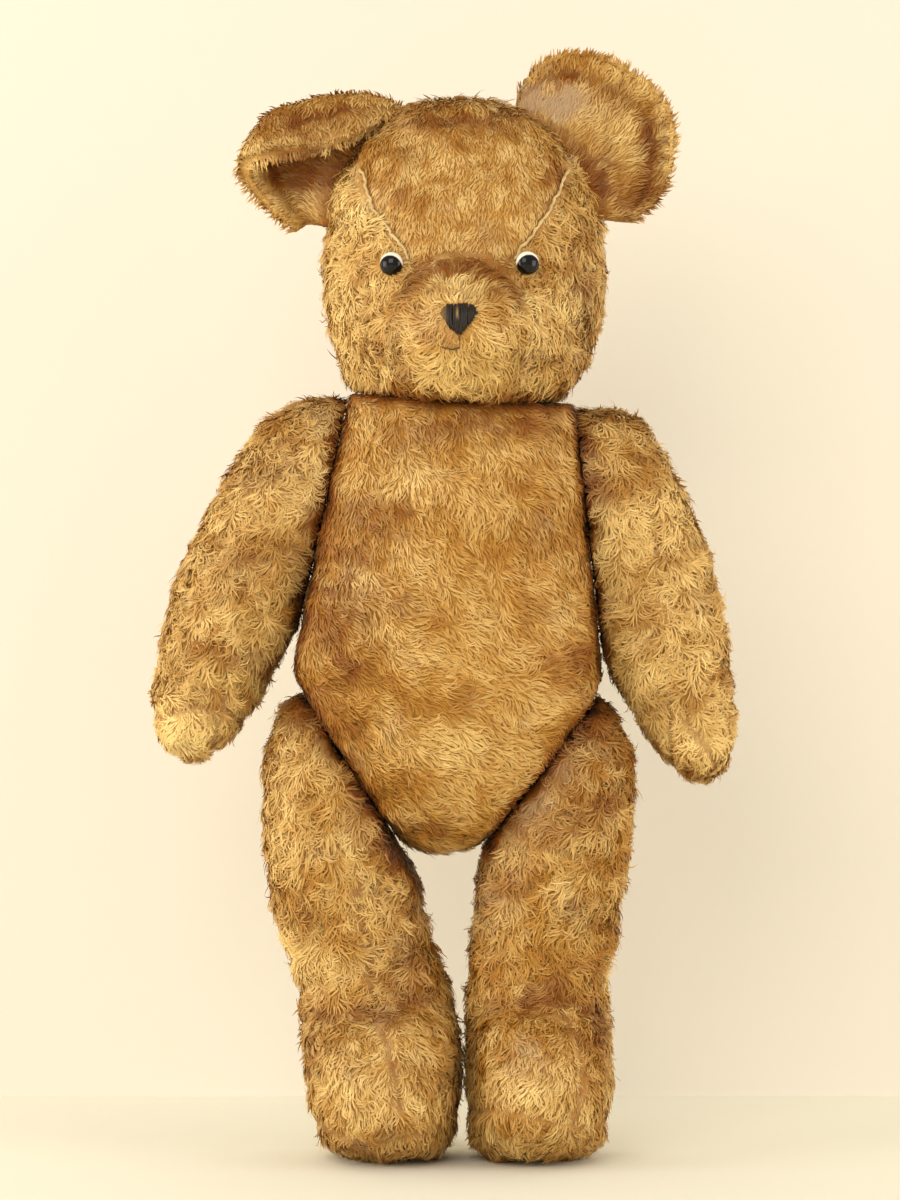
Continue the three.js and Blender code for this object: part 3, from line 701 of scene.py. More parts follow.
def form_rows(body, grid, inset):
    """A stuffed form's grid of points in the frame, before it is pressed."""
    side, _, kind = body.rpartition("_")
    stations = {"torso": TORSO, "head": HEAD, "arm": ARMS.get(side), "leg": LEGS.get(side)}[kind]
    around, along = (int(span / grid) for span in GRID_SPAN[kind])
    rows = oval_rows(stations, around, along, inset)
    if kind == "torso":
        return lean(rows)
    return swell_muzzle(rows) + NECK if kind == "head" else rows + SHIFT


def line_distance(x, z, line):
    """The least distance, in the front view, from each place to a line of straight pieces."""
    place = np.stack((x, z), axis=1)[:, None]
    a, b = np.array(line[:-1], float), np.array(line[1:], float)
    along = np.clip(((place - a) * (b - a)).sum(-1) / ((b - a) ** 2).sum(-1), 0, 1)[..., None]
    return np.linalg.norm(place - a - along * (b - a), axis=-1).min(axis=1)


def gusset_edge(height, table=GUSSET):
    heights, halves = np.array(table).T
    return np.interp(height, heights, halves)


SIDE_SEAM = 8  # how far the torso's side seam lies behind the pattern's middle
HEEL_SEAM = {"right_leg": -47, "left_leg": 55}  # x of the seam up the back of each leg
ARM_SEAM = 34  # how far an arm's seam lies outside its joint
NO_SEAM = 99.0


def seam_distance(body, points):
    """How far each point is from its body's nearest seam, in metres."""
    x, y, z = (points / MM).T
    far = np.full(len(points), NO_SEAM)
    from_side_seam = y - SHIFT[1] / MM - SIDE_SEAM
    front = y < SHIFT[1] / MM + SIDE_SEAM
    if body.endswith("ear"):
        return far * MM
    if body == "head":
        x0, y0, z0 = ((points - NECK) / MM).T
        edge = np.abs(np.abs(x0) - gusset_edge(z0)) * 0.87
        brow = np.abs(z0 - BROW + 8 - 11 * (1 - (x0 / 27) ** 2))
        behind = np.abs(np.abs(x0) - gusset_edge(z0, GUSSET_BACK))
        edge = np.where((z0 > BROW - 6) & (z0 < 150), edge, far)
        face = np.minimum(edge, np.where(np.abs(x0) < 28, brow, far))
        return np.where(y0 < 0, face, behind) * MM
    found = far
    for line in SEAM_LINES.get(body, ()):
        found = np.minimum(found, np.where(front, line_distance(x, z, line), far))
    if body.endswith("leg"):
        heel = np.where(z < 245, np.abs(x - HEEL_SEAM[body]), far)
        found = np.minimum(found, np.where(front, far, heel))
    elif body.endswith("arm"):
        place, normal = outward(LIMB_JOINTS[body])
        edge = np.abs((points - place) @ normal / MM - ARM_SEAM)
        found = np.minimum(found, np.where(front & (z > 270), far, edge))
    else:
        found = np.abs(from_side_seam)
    return found * MM


def wear_and_painted_light(body, kind, points):
    """How strong one kind of patch, of wear and of painted light and shade, is at each place: its patches
    fade as bells in the front view, and their edges wander with a noise."""
    if kind not in WEAR_AND_PAINTED_LIGHT[body]:
        return np.zeros(len(points))
    x, z, wide, tall, strength = np.array(WEAR_AND_PAINTED_LIGHT[body][kind], float).T[:, :, None]
    px, pz = (points[:, axis] / MM + PATCH_WANDER * noise_at(11, seed, points)
              for axis, seed in ((0, 41), (2, 42)))
    strength = np.minimum(strength * PATCH_GAIN[kind], 0.95)
    bell = strength * np.exp(-(((px - x) / wide) ** 2) - ((pz - z) / tall) ** 2)
    front = 1.0 if body.endswith("ear") else 1 - ramp(points[:, 1], 0, 0.02)
    return (1 - np.prod(1 - bell, axis=0)) * front


def blow_up(piece, firm, most, frames=20):
    """Cloth simulation of the stuffed cover: air pressure swells it between its seams, which are held."""
    before = points_of(piece.data)
    held = piece.vertex_groups.new(name="held")
    for i in np.flatnonzero(firm > 0.5):
        held.add([int(i)], 1.0, "REPLACE")
    cloth = piece.modifiers.new("stuffing", "CLOTH")
    settings = {
        "quality": 4, "mass": 0.2, "tension_stiffness": 25, "compression_stiffness": 25,
        "shear_stiffness": 10, "bending_stiffness": 0.6, "use_pressure": True, "uniform_pressure_force": 4,
        "vertex_group_mass": held.name}
    for key, value in settings.items():
        setattr(cloth.settings, key, value)
    cloth.settings.effector_weights.gravity = 0
    cloth.collision_settings.use_collision = False
    cloth.point_cache.frame_start = 1
    cloth.point_cache.frame_end = frames
    scene = bpy.context.scene
    for number in range(1, frames + 1):
        scene.frame_set(number)
    evaluated = piece.evaluated_get(bpy.context.evaluated_depsgraph_get())
    after = points_of(evaluated.to_mesh())
    evaluated.to_mesh_clear()
    piece.modifiers.remove(cloth)
    piece.vertex_groups.remove(held)
    scene.frame_set(1)
    moved = after - before
    far = np.linalg.norm(moved, axis=1, keepdims=True)
    set_points(piece.data, before + moved * np.minimum(1, most / np.maximum(far, 1e-9)))


def subdivided(piece):
    """Replaces the piece's mesh by its once subdivided surface."""
    piece.modifiers.new("smooth", "SUBSURF").levels = 1
    evaluated = piece.evaluated_get(bpy.context.evaluated_depsgraph_get())
    mesh = bpy.data.meshes.new_from_object(evaluated)
    piece.modifiers.clear()
    old, piece.data = piece.data, mesh
    bpy.data.meshes.remove(old)
    mesh.name = piece.name


def bareness(body, points):
    """0 where the pile is whole and 1 where the backing shows: rubbed patches, and a thinning all over."""
    thin = 0.2 * ramp(noise_at(34, 71, points) + 0.4 * noise_at(9, 72, points), 1.1, 2.4)
    return np.clip(thin + wear_and_painted_light(body, "bare", points), 0, 1)


COVER_NODES = {
    "torso": ["torso_front_panel", "torso_back_panel", "torso_stuffing"],
    "head": ["head_gusset", "head_left_panel", "head_right_panel", "head_stuffing"],
}
for limb_side in SIDE:
    COVER_NODES[limb_side + "_arm"] = [limb_side + end for end in (
        "_arm_inner_panel", "_arm_outer_panel", "_paw_pad", "_arm_stuffing")]
    COVER_NODES[limb_side + "_leg"] = [limb_side + end for end in (
        "_leg_inner_panel", "_leg_outer_panel", "_sole_pad", "_leg_stuffing")]


DEEPEST = 1.9  # the most stain and painted shade: brown is 1, and black-brown, the painted shade in the gaps, 2
BAREST = 0.9  # the most bareness, which leaves a little wool on the backing


def shades(body, points, lie):
    """The pile's colour at each place, before it is clipped: tone from gold to pale with painted light, stain
    with painted shade, and bareness.
    """
    broad, small = noise_at(44, 11, points), noise_at(15, 12, points)
    speckle = 0.07 if body == "torso" else 0.12
    # tone takes in the paler wear and the painted light carried by the lie's tone
    tone = 0.28 + BODY_TONE[body] + 0.12 * broad + speckle * small + 0.5 * lie.tone
    stain_and_shade = lie.stain_and_shade + 0.3 * ramp(-broad - 0.7 * small, 0.5, 2.4) - 0.3 * lie.tone
    return tone, stain_and_shade, lie.bare


def add_shades(piece, body, planes):
    points = points_of(piece.data)
    tone, stain_and_shade, bare = shades(body, points, comb(body, points, normals_of(piece.data), planes))
    # the underfur is painted a little darker, as the shade under the locks
    for name, values, most in (("tone", tone - 0.08, 1), ("stain_and_shade", stain_and_shade, DEEPEST), ("bare", bare, BAREST)):
        add_attribute(piece.data, name, np.clip(values, 0, most))


def stuffed_cover(body, sizes, material):
    """One stuffed form: ovals, pressed at its joints, blown up between its seams, then creased at them."""
    planes = planes_of(body)
    points, faces = closed_rows(form_rows(body, sizes.cloth_grid, sizes.pile_thick / MM))
    piece = new_object(body + "_cover", press(points, planes, sizes.joint_gap), faces)
    points = points_of(piece.data)
    on_plane = plane_distance(points, planes)[0] < 3 * MM
    firm = on_plane | (seam_distance(body, points) < sizes.cloth_grid * 0.6) | (points[:, 2] < 6 * MM)
    blow_up(piece, firm, sizes.puff)
    set_points(piece.data, press(points_of(piece.data), planes, sizes.joint_gap))
    subdivided(piece)
    mesh = piece.data
    points, normals = points_of(mesh), normals_of(mesh)
    crease = fade(seam_distance(body, points), 3.2 * MM) * sizes.seam_deep
    if body in FOLDS:
        off = line_distance(points[:, 0] / MM, points[:, 2] / MM, FOLDS[body])
        crease += sizes.fold_deep * fade(off, 6) * (1 - ramp(points[:, 1], -0.02, 0.03))
    lumps = sizes.lumps * (noise_at(26, 81, points) + 0.5 * noise_at(12, 82, points))
    points = points + normals * (lumps - crease)[:, None]
    points[:, 2] = np.maximum(points[:, 2], 0.4 * MM)
    set_points(mesh, press(points, planes, sizes.joint_gap))
    add_shades(piece, body, planes)
    finished(piece, body, "plush", material, *COVER_NODES[body])
    return piece


# ---------------------------------------------------------------- ears


def ear_rows(side, across, along):
    """The ear's middle surface: cubic curves run along the ribs, and cubic curves through those join them."""
    ribs = np.array(EARS[side], float)
    ribs[:, 2] = ribs[:, 1] + (ribs[:, 2] - ribs[:, 1]) * EAR_SHORT
    root = ribs[:, :1] - 0.25 * (ribs[:, 1:2] - ribs[:, :1])
    ribs = np.concatenate((root, ribs), axis=1)
    fine = np.array([smooth_rows(rib, along) for rib in ribs])
    return smooth_rows(fine.reshape(len(ribs), -1), across).reshape(across, along, 3) * MM


def ear_shape(side):
    """A closed plush ear: its middle surface, given thickness along its normals and a round rim."""
    across, along = EAR_ACROSS, EAR_ALONG
    middle = ear_rows(side, across, along)
    du = np.gradient(middle, axis=0)
    dv = np.gradient(middle, axis=1)
    normal = unit(np.cross(du, dv))
    i = np.arange(across)[:, None] / (across - 1)
    j = np.arange(along)[None, :] / (along - 1)
    edge = np.minimum(np.minimum(i, 1 - i) * 8, (1 - j) * 7)
    thick = EAR_THICK[side] / 2 * MM * np.sqrt(1 - (1 - np.clip(edge, 0.12, 1)) ** 2)
    front = (middle + normal * thick[..., None]).reshape(-1, 3)
    back = (middle - normal * thick[..., None]).reshape(-1, 3)
    n = across * along
    a = (np.arange(across - 1)[:, None] * along + np.arange(along - 1)).ravel()
    ahead = np.stack((a, a + along, a + along + 1, a + 1), axis=1)
    behind = np.stack((a + 1, a + along + 1, a + along, a), axis=1) + n
    rim = np.concatenate((np.arange(along), np.arange(1, across) * along + along - 1,
                          n - 2 - np.arange(along - 1), (across - 2 - np.arange(across - 2)) * along))
    after = np.roll(rim, -1)
    walls = np.stack((after, rim, rim + n, after + n), axis=1)
    return np.concatenate((front, back)) + NECK, np.concatenate((ahead, behind, walls)).tolist()


def face_outwards(mesh):
    """Turns the faces of a closed mesh if its volume comes out negative."""
    a, b, c = points_of(mesh)[triangles_of(mesh)].transpose(1, 0, 2)
    if np.einsum("ij,ij->", a, np.cross(b, c)) < 0:
        mesh.flip_normals()
        mesh.update()


def ear_piece(side, sizes, material):
    points, faces = ear_shape(side)
    piece = new_object(side + "_ear", points, faces)
    face_outwards(piece.data)
    add_shades(piece, side + "_ear", [])
    finished(piece, "head", "plush", material, side + "_ear_front", side + "_ear_back")
    return piece


# ---------------------------------------------------------------- pile


def plane_distance(points, planes):
    """How far inside the nearest joint plane each point is, and that plane's normal."""
    if not planes:
        return np.full(len(points), 1.0), np.zeros((len(points), 3))
    inside = np.stack([(place - points) @ normal for place, normal in planes])
    nearest = inside.argmin(axis=0)
    return inside.min(axis=0), np.array([normal for _, normal in planes])[nearest]


def comb_head(p, n, lie):
    """The forehead is short and combed down to the brow; the muzzle's pile springs away from the nose; the
    cheeks curl, the chin hangs over the neck, and the pile lies away from each eye."""
    x, y, z = ((p - NECK) / MM).T
    face = 1 - ramp(y, -20, 0)
    from_nose = np.stack((x + 1.8, np.zeros(len(x)), z - 36), axis=1)
    reach = np.linalg.norm(from_nose, axis=1)
    muzzle = fade(reach, 38, 4) * face * (z < BROW)
    lie.flow = lie.flow * (1 - muzzle[:, None]) + unit(from_nose) * muzzle[:, None] * 1.4
    forehead = (1 - ramp(np.abs(x) - gusset_edge(z), -2, 2)) * face * ramp(z, BROW - 1, BROW + 2)
    top = ramp(z, 46, 52) * (1 - ramp(z, BROW, BROW + 3)) * (1 - ramp(np.abs(x), 24, 34)) * face
    lie.curl += -0.72 * forehead - 0.45 * top - 0.3 * muzzle
    lie.long *= 1 - 0.5 * forehead - 0.42 * top
    lie.stain_and_shade += 0.1 * forehead + 0.25 * top
    # painted shade in the crease round the lower muzzle, deeper on the bear's right
    valley = fade(reach - 37, 4) * face * (1 - ramp(z, 10, 40)) * ramp(z, 2, 12)
    lie.stain_and_shade += 0.6 * valley * np.where(x < 0, 1, 0.6)
    # the cheeks are paler: pale pile, and on the bear's right more so, as painted light on the side that
    # faces the light
    cheeks = face * (1 - forehead - top - muzzle).clip(0, 1) * ramp(np.abs(x), 25, 45)
    beside = fade(np.abs(x) - gusset_edge(z) - 1, 3) * face * ramp(z, BROW - 4, BROW + 4)
    lie.shift = cheeks * np.where(x < 0, 0.38, 0.12) - 0.02 * muzzle + 0.3 * beside
    chin = fade(x, 34, 4) * (1 - ramp(z, 12, 26)) * face
    lie.long *= 1 + 0.35 * chin
    lie.hang += 7 * chin
    lie.density *= 1 + 0.5 * chin
    tip = np.exp(-(((x + 1.8) / 9) ** 4) - ((z - 37) / 10) ** 4) * face
    lie.density *= 1 - 0.85 * tip
    lie.long *= 1 - 0.45 * fade(reach, 17, 4) * face
    for side in SIDE:
        root = NECK + ear_rows(side, EAR_ACROSS, EAR_ALONG)[::2, 4:9:2].reshape(-1, 3)
        to_ear = np.sqrt(((p[:, None] - root) ** 2).sum(-1).min(axis=1))
        # painted shade where each ear is sewn to the head
        lie.stain_and_shade += 1.5 * fade(to_ear, 3 * MM)
        low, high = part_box(side + "_eye")
        away = p - np.array([(low.x + high.x) / 2, low.y, (low.z + high.z) / 2])
        away[:, 1] = 0
        near = fade(np.linalg.norm(away, axis=1), 10 * MM, 4) * face
        lie.long *= 1 - 0.5 * near
        # painted shade round each eye
        lie.stain_and_shade += 0.15 * near
        lie.flow = lie.flow * (1 - near[:, None]) + unit(away) * near[:, None] * 1.5


def comb_ear(side, p, n, lie):
    middle = ear_rows(side, EAR_ACROSS, EAR_ALONG)
    out = unit(np.gradient(middle, axis=1)).reshape(-1, 3)
    nearest = ((p[:, None] - NECK - middle.reshape(-1, 3)) ** 2).sum(-1).argmin(axis=1)
    lie.flow = out[nearest]
    lie.curl[:] = 0.3
    lie.long *= 0.62
    share = (nearest % EAR_ALONG) / (EAR_ALONG - 1)
    # painted shade at the ear's base and along a crease inside it
    inner = fade(share - 0.74, 0.07) * (1 - ramp(n[:, 1], -0.3, 0.3))
    lie.stain_and_shade += 0.6 * (1 - ramp(share, 0.1, 0.2)) + 0.4 * inner
    # the ear's rim is paler, as painted light
    lie.shift = 0.2 * ramp(share, 0.84, 0.95)
    lie.density *= 1 + 1.5 * ramp(share, 0.8, 0.97)


def comb(body, p, n, planes):
    """How the pile lies at each place: density, length, direction, curl, stain with painted shade, paleness
    with painted light, bareness and how far a lock may hang past a joint plane.

    It runs downwards but for the head, leans across the gap at a joint, and is short along seams.
    """
    count = len(p)
    parted = 1 - ramp(seam_distance(body, p), 0.8 * MM, 4.5 * MM)
    inside, normal = plane_distance(p, planes)
    brink = fade(inside, 8.5 * MM)
    bare = bareness(body, p)
    lie = SimpleNamespace(
        density=0.55 + 0.45 * ramp(-n[:, 1], -0.35, 0.25), long=np.ones(count), curl=np.full(count, 1.0),
        flow=np.broadcast_to(DOWN, (count, 3)).copy(), stain_and_shade=np.zeros(count), hang=np.full(count, 0.9),
        shift=np.zeros(count))
    if body == "torso":
        belly = 1 - ramp(p[:, 2], 0.27, 0.37)
        lie.flow = lie.flow * (1 - 0.6 * belly)[:, None] + np.outer(0.4 + 0.6 * belly, (1, 0, 0))
        lie.curl[:] = 0.45
        lie.long *= 0.72
    elif body == "head":
        comb_head(p, n, lie)
    elif body.endswith("ear"):
        comb_ear(body.split("_")[0], p, n, lie)
    paw = 1 - ramp(p[:, 2], 0.245, 0.27) if body.endswith("arm") else 0
    if body in FOLDS:
        fold = line_distance(p[:, 0] / MM, p[:, 2] / MM, FOLDS[body])
        front = 1 - ramp(p[:, 1], -0.02, 0.03)
        # painted shade along the ankle's fold
        lie.stain_and_shade += 0.2 * fade(fold, 7) * front * (0.8 + 0.5 * noise_at(18, 44, p))
        paw = (1 - ramp(p[:, 2], 0.08, 0.095)) * front
        lie.curl *= 1 - 0.35 * paw
    lie.long *= (1 - 0.6 * parted) * (1 - 0.5 * bare) * (1 - 0.35 * brink) * (1 - 0.25 * paw)
    lie.density *= 1 - 0.35 * parted
    lie.flow += normal * (0.9 * brink)[:, None]
    # beside a joint's gap the pile is darkened brown, stain with painted shade, and in the gap itself painted
    # shade goes black-brown
    edge = fade(inside, 4.2 * MM)
    lie.stain_and_shade += 0.6 * brink * (0.75 + 0.25 * noise_at(16, 43, p)) + 1.1 * edge
    lie.stain_and_shade += wear_and_painted_light(body, "stain_and_shade", p)
    # painted shade in the seam creases of arms and legs
    if body.endswith(("arm", "leg")):
        lie.stain_and_shade += 0.5 * (1 - ramp(seam_distance(body, p), 0.6 * MM, 2.2 * MM))
    lie.tone = wear_and_painted_light(body, "tone", p) + lie.shift
    lie.bare = bare + 0.2 * parted
    return lie


SEGMENTS = 3
LIFTS = np.radians((32, 10, -5))  # how steeply each stretch of a lock leaves the cloth
STRAY = 0.04  # the share of locks that stand away from the rest


def scattered(mesh, count, body, planes, rng):
    """Places spread over a mesh in proportion to area and density, with their normals."""
    corner = triangles_of(mesh)
    points, normals = points_of(mesh), normals_of(mesh)
    a, b, c = (points[corner[:, k]] for k in range(3))
    area = np.linalg.norm(np.cross(b - a, c - a), axis=1) / 2
    middle = (a + b + c) / 3
    facing = unit(np.cross(b - a, c - a))
    share = area * comb(body, middle, facing, planes).density
    for place, normal in planes:
        share[((middle - place) @ normal > -1.2 * MM) & (facing @ normal > 0.8)] = 0
    share[(middle[:, 2] < 1.5 * MM) & (facing[:, 2] < -0.8)] *= 0.25
    edges = np.cumsum(share)
    chosen = np.searchsorted(edges, (np.arange(count) + rng.random(count)) / count * edges[-1])
    chosen = np.minimum(chosen, len(corner) - 1)
    u, v = rng.random((2, count))
    over = u + v > 1
    u, v = np.where(over, 1 - u, u), np.where(over, 1 - v, v)
    weights = np.stack((1 - u - v, u, v), axis=1)[..., None]
    return (points[corner[chosen]] * weights).sum(1), unit((normals[corner[chosen]] * weights).sum(1))


def lock_paths(body, p, n, planes, sizes, rng):
    """Each lock as four points: it leaves the cloth steeply, lies down along the combed direction turned by
    broad and small swirls, bends as its neighbours do, and leans towards the middle of its tuft, which is
    where a smooth noise is highest."""
    lie = comb(body, p, n, planes)
    count = len(p)
    curl = lie.curl
    swirl = 0.7 * noise_at(36, 5, p) + 0.4 * noise_at(13, 6, p)
    tuft = Waves(8 * MM, 7)
    pull, height = tuft.slope(p), tuft.value(p)
    flow = lie.flow
    flow = unit(flow - (flow * n).sum(1, keepdims=True) * n)
    cross = np.cross(n, flow)
    turn = curl * swirl + rng.normal(0, 0.16, count)
    bend = curl * (0.5 * noise_at(11, 8, p) + 0.4 * noise_at(6, 9, p))
    long = sizes.pile_long * lie.long * rng.uniform(0.75, 1.15, count) * (1 + 0.18 * np.tanh(height))
    stray = np.radians(18) * (rng.random(count) < STRAY)
    lean = 0.22 * np.minimum(curl + 0.2, 1)
    path = [p - n * 0.4 * MM]
    directions = []
    for k in range(SEGMENTS):
        angle = (turn + bend * k)[:, None]
        lift = (LIFTS[k] * rng.uniform(0.75, 1.2, count) + stray)[:, None]
        along = flow * np.cos(angle) + cross * np.sin(angle)
        direction = unit(along * np.cos(lift) + n * np.sin(lift) + pull * (lean * (k > 0))[:, None])
        directions.append(direction)
        path.append(path[-1] + direction * (long / SEGMENTS)[:, None])
    directions.append(directions[-1])
    path = np.stack(path, axis=1)
    hang = (lie.hang * rng.uniform(0.3, 1, count))[:, None] * MM
    for place, normal in planes:
        past = (path[:, 1:] - place) @ normal - hang
        path[:, 1:] -= np.maximum(past, 0)[..., None] * normal
    path[:, 1:, 2] = np.maximum(path[:, 1:, 2], 0.2 * MM)
    return path, np.stack(directions, axis=1), lie, height


def ribbon_mesh(name, path, directions, n, wide, numbers, rng):
    """Flat tapering ribbons along paths, one pointed strip each: at every point the strip's width lies
    across both the lock's direction and the cloth's normal, turned a little about the lock."""
    count, points_each = len(path), 2 * SEGMENTS + 1
    side = unit(np.cross(directions, n[:, None, :]))
    tilt = rng.normal(0, 0.32, count)[:, None, None]
    side = unit(side * np.cos(tilt) + n[:, None, :] * np.sin(tilt))
    taper = np.array((1.0, 1.0, 0.75))[None, :, None]
    half = (wide / 2)[:, None, None] * taper
    strip = np.empty((count, points_each, 3))
    strip[:, 0:-1:2] = path[:, :-1] - side[:, :-1] * half
    strip[:, 1:-1:2] = path[:, :-1] + side[:, :-1] * half
    strip[:, -1] = path[:, -1]
    strip[..., 2] = np.maximum(strip[..., 2], 0)
    quads = [(2 * k, 2 * k + 1, 2 * k + 3, 2 * k + 2) for k in range(SEGMENTS - 1)]
    one = np.array([i for quad in quads for i in quad] + [points_each - 3, points_each - 2, points_each - 1])
    loops = (np.arange(count)[:, None] * points_each + one).ravel()
    starts_in_one = np.append(np.arange(SEGMENTS - 1) * 4, (SEGMENTS - 1) * 4)
    starts = (np.arange(count)[:, None] * len(one) + starts_in_one).ravel()
    totals = np.tile(np.append(np.full(SEGMENTS - 1, 4), 3), count)
    mesh = bpy.data.meshes.new(name)
    mesh.vertices.add(count * points_each)
    mesh.vertices.foreach_set("co", strip.ravel())
    mesh.loops.add(len(loops))
    mesh.loops.foreach_set("vertex_index", loops.astype(np.int32))
    mesh.polygons.add(len(starts))
    mesh.polygons.foreach_set("loop_start", starts.astype(np.int32))
    mesh.polygons.foreach_set("loop_total", totals.astype(np.int32))
    mesh.update(calc_edges=True)
    steps = np.append(np.repeat(np.arange(SEGMENTS), 2), SEGMENTS) / SEGMENTS
    add_attribute(mesh, "along", np.tile(steps, count))
    for key, values in numbers.items():
        add_attribute(mesh, key, np.repeat(values, points_each))
    cells = math.ceil(math.sqrt(count))
    cell = np.stack(np.divmod(np.arange(count), cells), axis=1)[:, None, :]
    in_cell = np.stack((np.append(np.tile((0.12, 0.88), SEGMENTS), 0.5), 0.08 + 0.84 * steps), axis=1)
    spots = ((cell + in_cell[None]) / cells).reshape(-1, 2)
    layer = mesh.uv_layers.new(name="OFBake")
    layer.data.foreach_set("uv", spots[loops].ravel())
    mesh.shade_smooth()
    across = np.cross(side, directions)
    blended = unit(across * 0.15 + n[:, None, :] + directions * 0.12)
    corner_normals = np.concatenate((np.repeat(blended[:, :-1], 2, axis=1), blended[:, -1:]), axis=1)
    mesh.normals_split_custom_set_from_vertices(corner_normals.reshape(-1, 3))
    return placed(name, mesh)


FIRST_PILE_SEED = 100  # each form's pile has the next seed
PILE_SHARE = {"torso": 0.2, "head": 0.21, "left_arm": 0.115, "right_arm": 0.115, "left_leg": 0.15,
              "right_leg": 0.15, "left_ear": 0.03, "right_ear": 0.03}


def grow_pile(body, seed, sizes, material):
    rng = np.random.default_rng(seed)
    is_ear = body.endswith("ear")
    base = bpy.data.objects[body if is_ear else body + "_cover"]
    planes = [] if is_ear else planes_of(body)
    count = int(sizes.locks * PILE_SHARE[body])
    p, n = scattered(base.data, count, body, planes, rng)
    path, directions, lie, height = lock_paths(body, p, n, planes, sizes, rng)
    tone, stain_and_shade, bare = shades(body, p, lie)
    # painted light on the raised middles of the tufts, and painted shade in the hollows between them
    tone = tone + 0.05 * height + rng.normal(0, 0.06, count)
    stain_and_shade = stain_and_shade + 0.08 * ramp(-height, 0.3, 1.6)
    numbers = {name: np.clip(values, 0, most) for name, values, most in (
        ("tone", tone, 1), ("stain_and_shade", stain_and_shade, DEEPEST), ("bare", bare, BAREST))}
    wide = sizes.lock_wide * rng.uniform(0.65, 1.2, count)
    piece = ribbon_mesh(body + "_pile", path, directions, n, wide, numbers, rng)
    return finished(piece, "head" if is_ear else body, "plush", material)


# ---------------------------------------------------------------- eyes, nose and mouth


EYE_TURN = math.radians(14)
EYE_RADIUS = 6.6
EYE_DOME = 4.9  # how far the glass bulges
PUPIL_LOW, PUPIL_RADIUS = 2.1, 6.4  # how far the pupil sits below the eye's middle, and its size


def eye_piece(side, material):
    """A button eye: a quarter ellipse turned about its axis, with a flat back. The pupil is a round mask set
    low on the dome."""
    low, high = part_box(side + "_eye")
    place = np.array([(low.x + high.x) / 2, low.y + 4.2 * MM, (low.z + high.z) / 2])
    out = np.array([SIDE[side] * math.sin(EYE_TURN), -math.cos(EYE_TURN), 0])
    across = np.array([math.cos(EYE_TURN), SIDE[side] * math.sin(EYE_TURN), 0])
    t = np.linspace(0, math.pi / 2, 22)
    dome_radius, dome_height = EYE_RADIUS * np.cos(t)[1:-1], EYE_DOME * np.sin(t)[1:-1]
    radius = np.concatenate(([0, 0.5, EYE_RADIUS * 0.9, EYE_RADIUS], dome_radius, [0])) * MM
    height = np.concatenate(([-3, -3, -1.2, -0.4], dome_height, [EYE_DOME])) * MM
    turn = np.linspace(0, 2 * math.pi, 64, endpoint=False)
    circle = across * np.cos(turn)[:, None] + np.array([0, 0, 1]) * np.sin(turn)[:, None]
    rows = place + radius[:, None, None] * circle + height[:, None, None] * out
    points, faces = closed_rows(rows)
    piece = new_object(side + "_eye_button", points, faces)
    face_outwards(piece.data)
    local = points - place
    off = np.hypot(local @ across, local[:, 2] + PUPIL_LOW * MM) / MM
    add_attribute(piece.data, "pupil", 1 - ramp(off, PUPIL_RADIUS, PUPIL_RADIUS + 0.3))
    return finished(piece, "head", "eye_glass", material, side + "_eye")


def tube_rows(path, radius, around=8):
    """A round tube along each of many paths at once: rings across the path's direction, shrinking to the
    ends. Path is (tubes, steps, 3) and radius (tubes, steps)."""
    along = unit(np.gradient(path, axis=1))
    side = unit(np.cross(along, np.array([0.02, -1.0, 0.03])))
    up = np.cross(side, along)
    turn = np.linspace(0, 2 * math.pi, around, endpoint=False)
    ring = side[:, :, None] * np.cos(turn)[:, None] + up[:, :, None] * np.sin(turn)[:, None]
    return path[:, :, None] + ring * radius[:, :, None, None]


def joined_tubes(name, path, radius):
    all_points, all_faces, at = [], [], 0
    for rows in tube_rows(path, radius):
        points, faces = closed_rows(rows)
        all_faces += [tuple(i + at for i in face) for face in faces]
        at += len(points)
        all_points.append(points)
    piece = new_object(name, np.concatenate(all_points), all_faces)
    face_outwards(piece.data)
    return piece


def on_face(tree, x, z):
    """The point of the head's cover straight behind a place, and the cover's normal there."""
    hit, normal, _, _ = tree.ray_cast(Vector((x, -0.5, z)), Vector((0, 1, 0)))
    if hit is None:
        raise RuntimeError("the face has a hole in it")
    return np.array(hit), np.array(normal)


def surface_line(tree, xs, zs, above):
    """Points over the face behind each place, lifted along the cover's normal."""
    hits = [on_face(tree, x, z) for x, z in zip(xs, zs)]
    return np.array([hit + normal * up for (hit, normal), up in zip(hits, np.broadcast_to(above, len(hits)))])


def pointed(steps, radius):
    return np.concatenate(([1e-5], np.full(steps - 2, radius), [1e-5]))


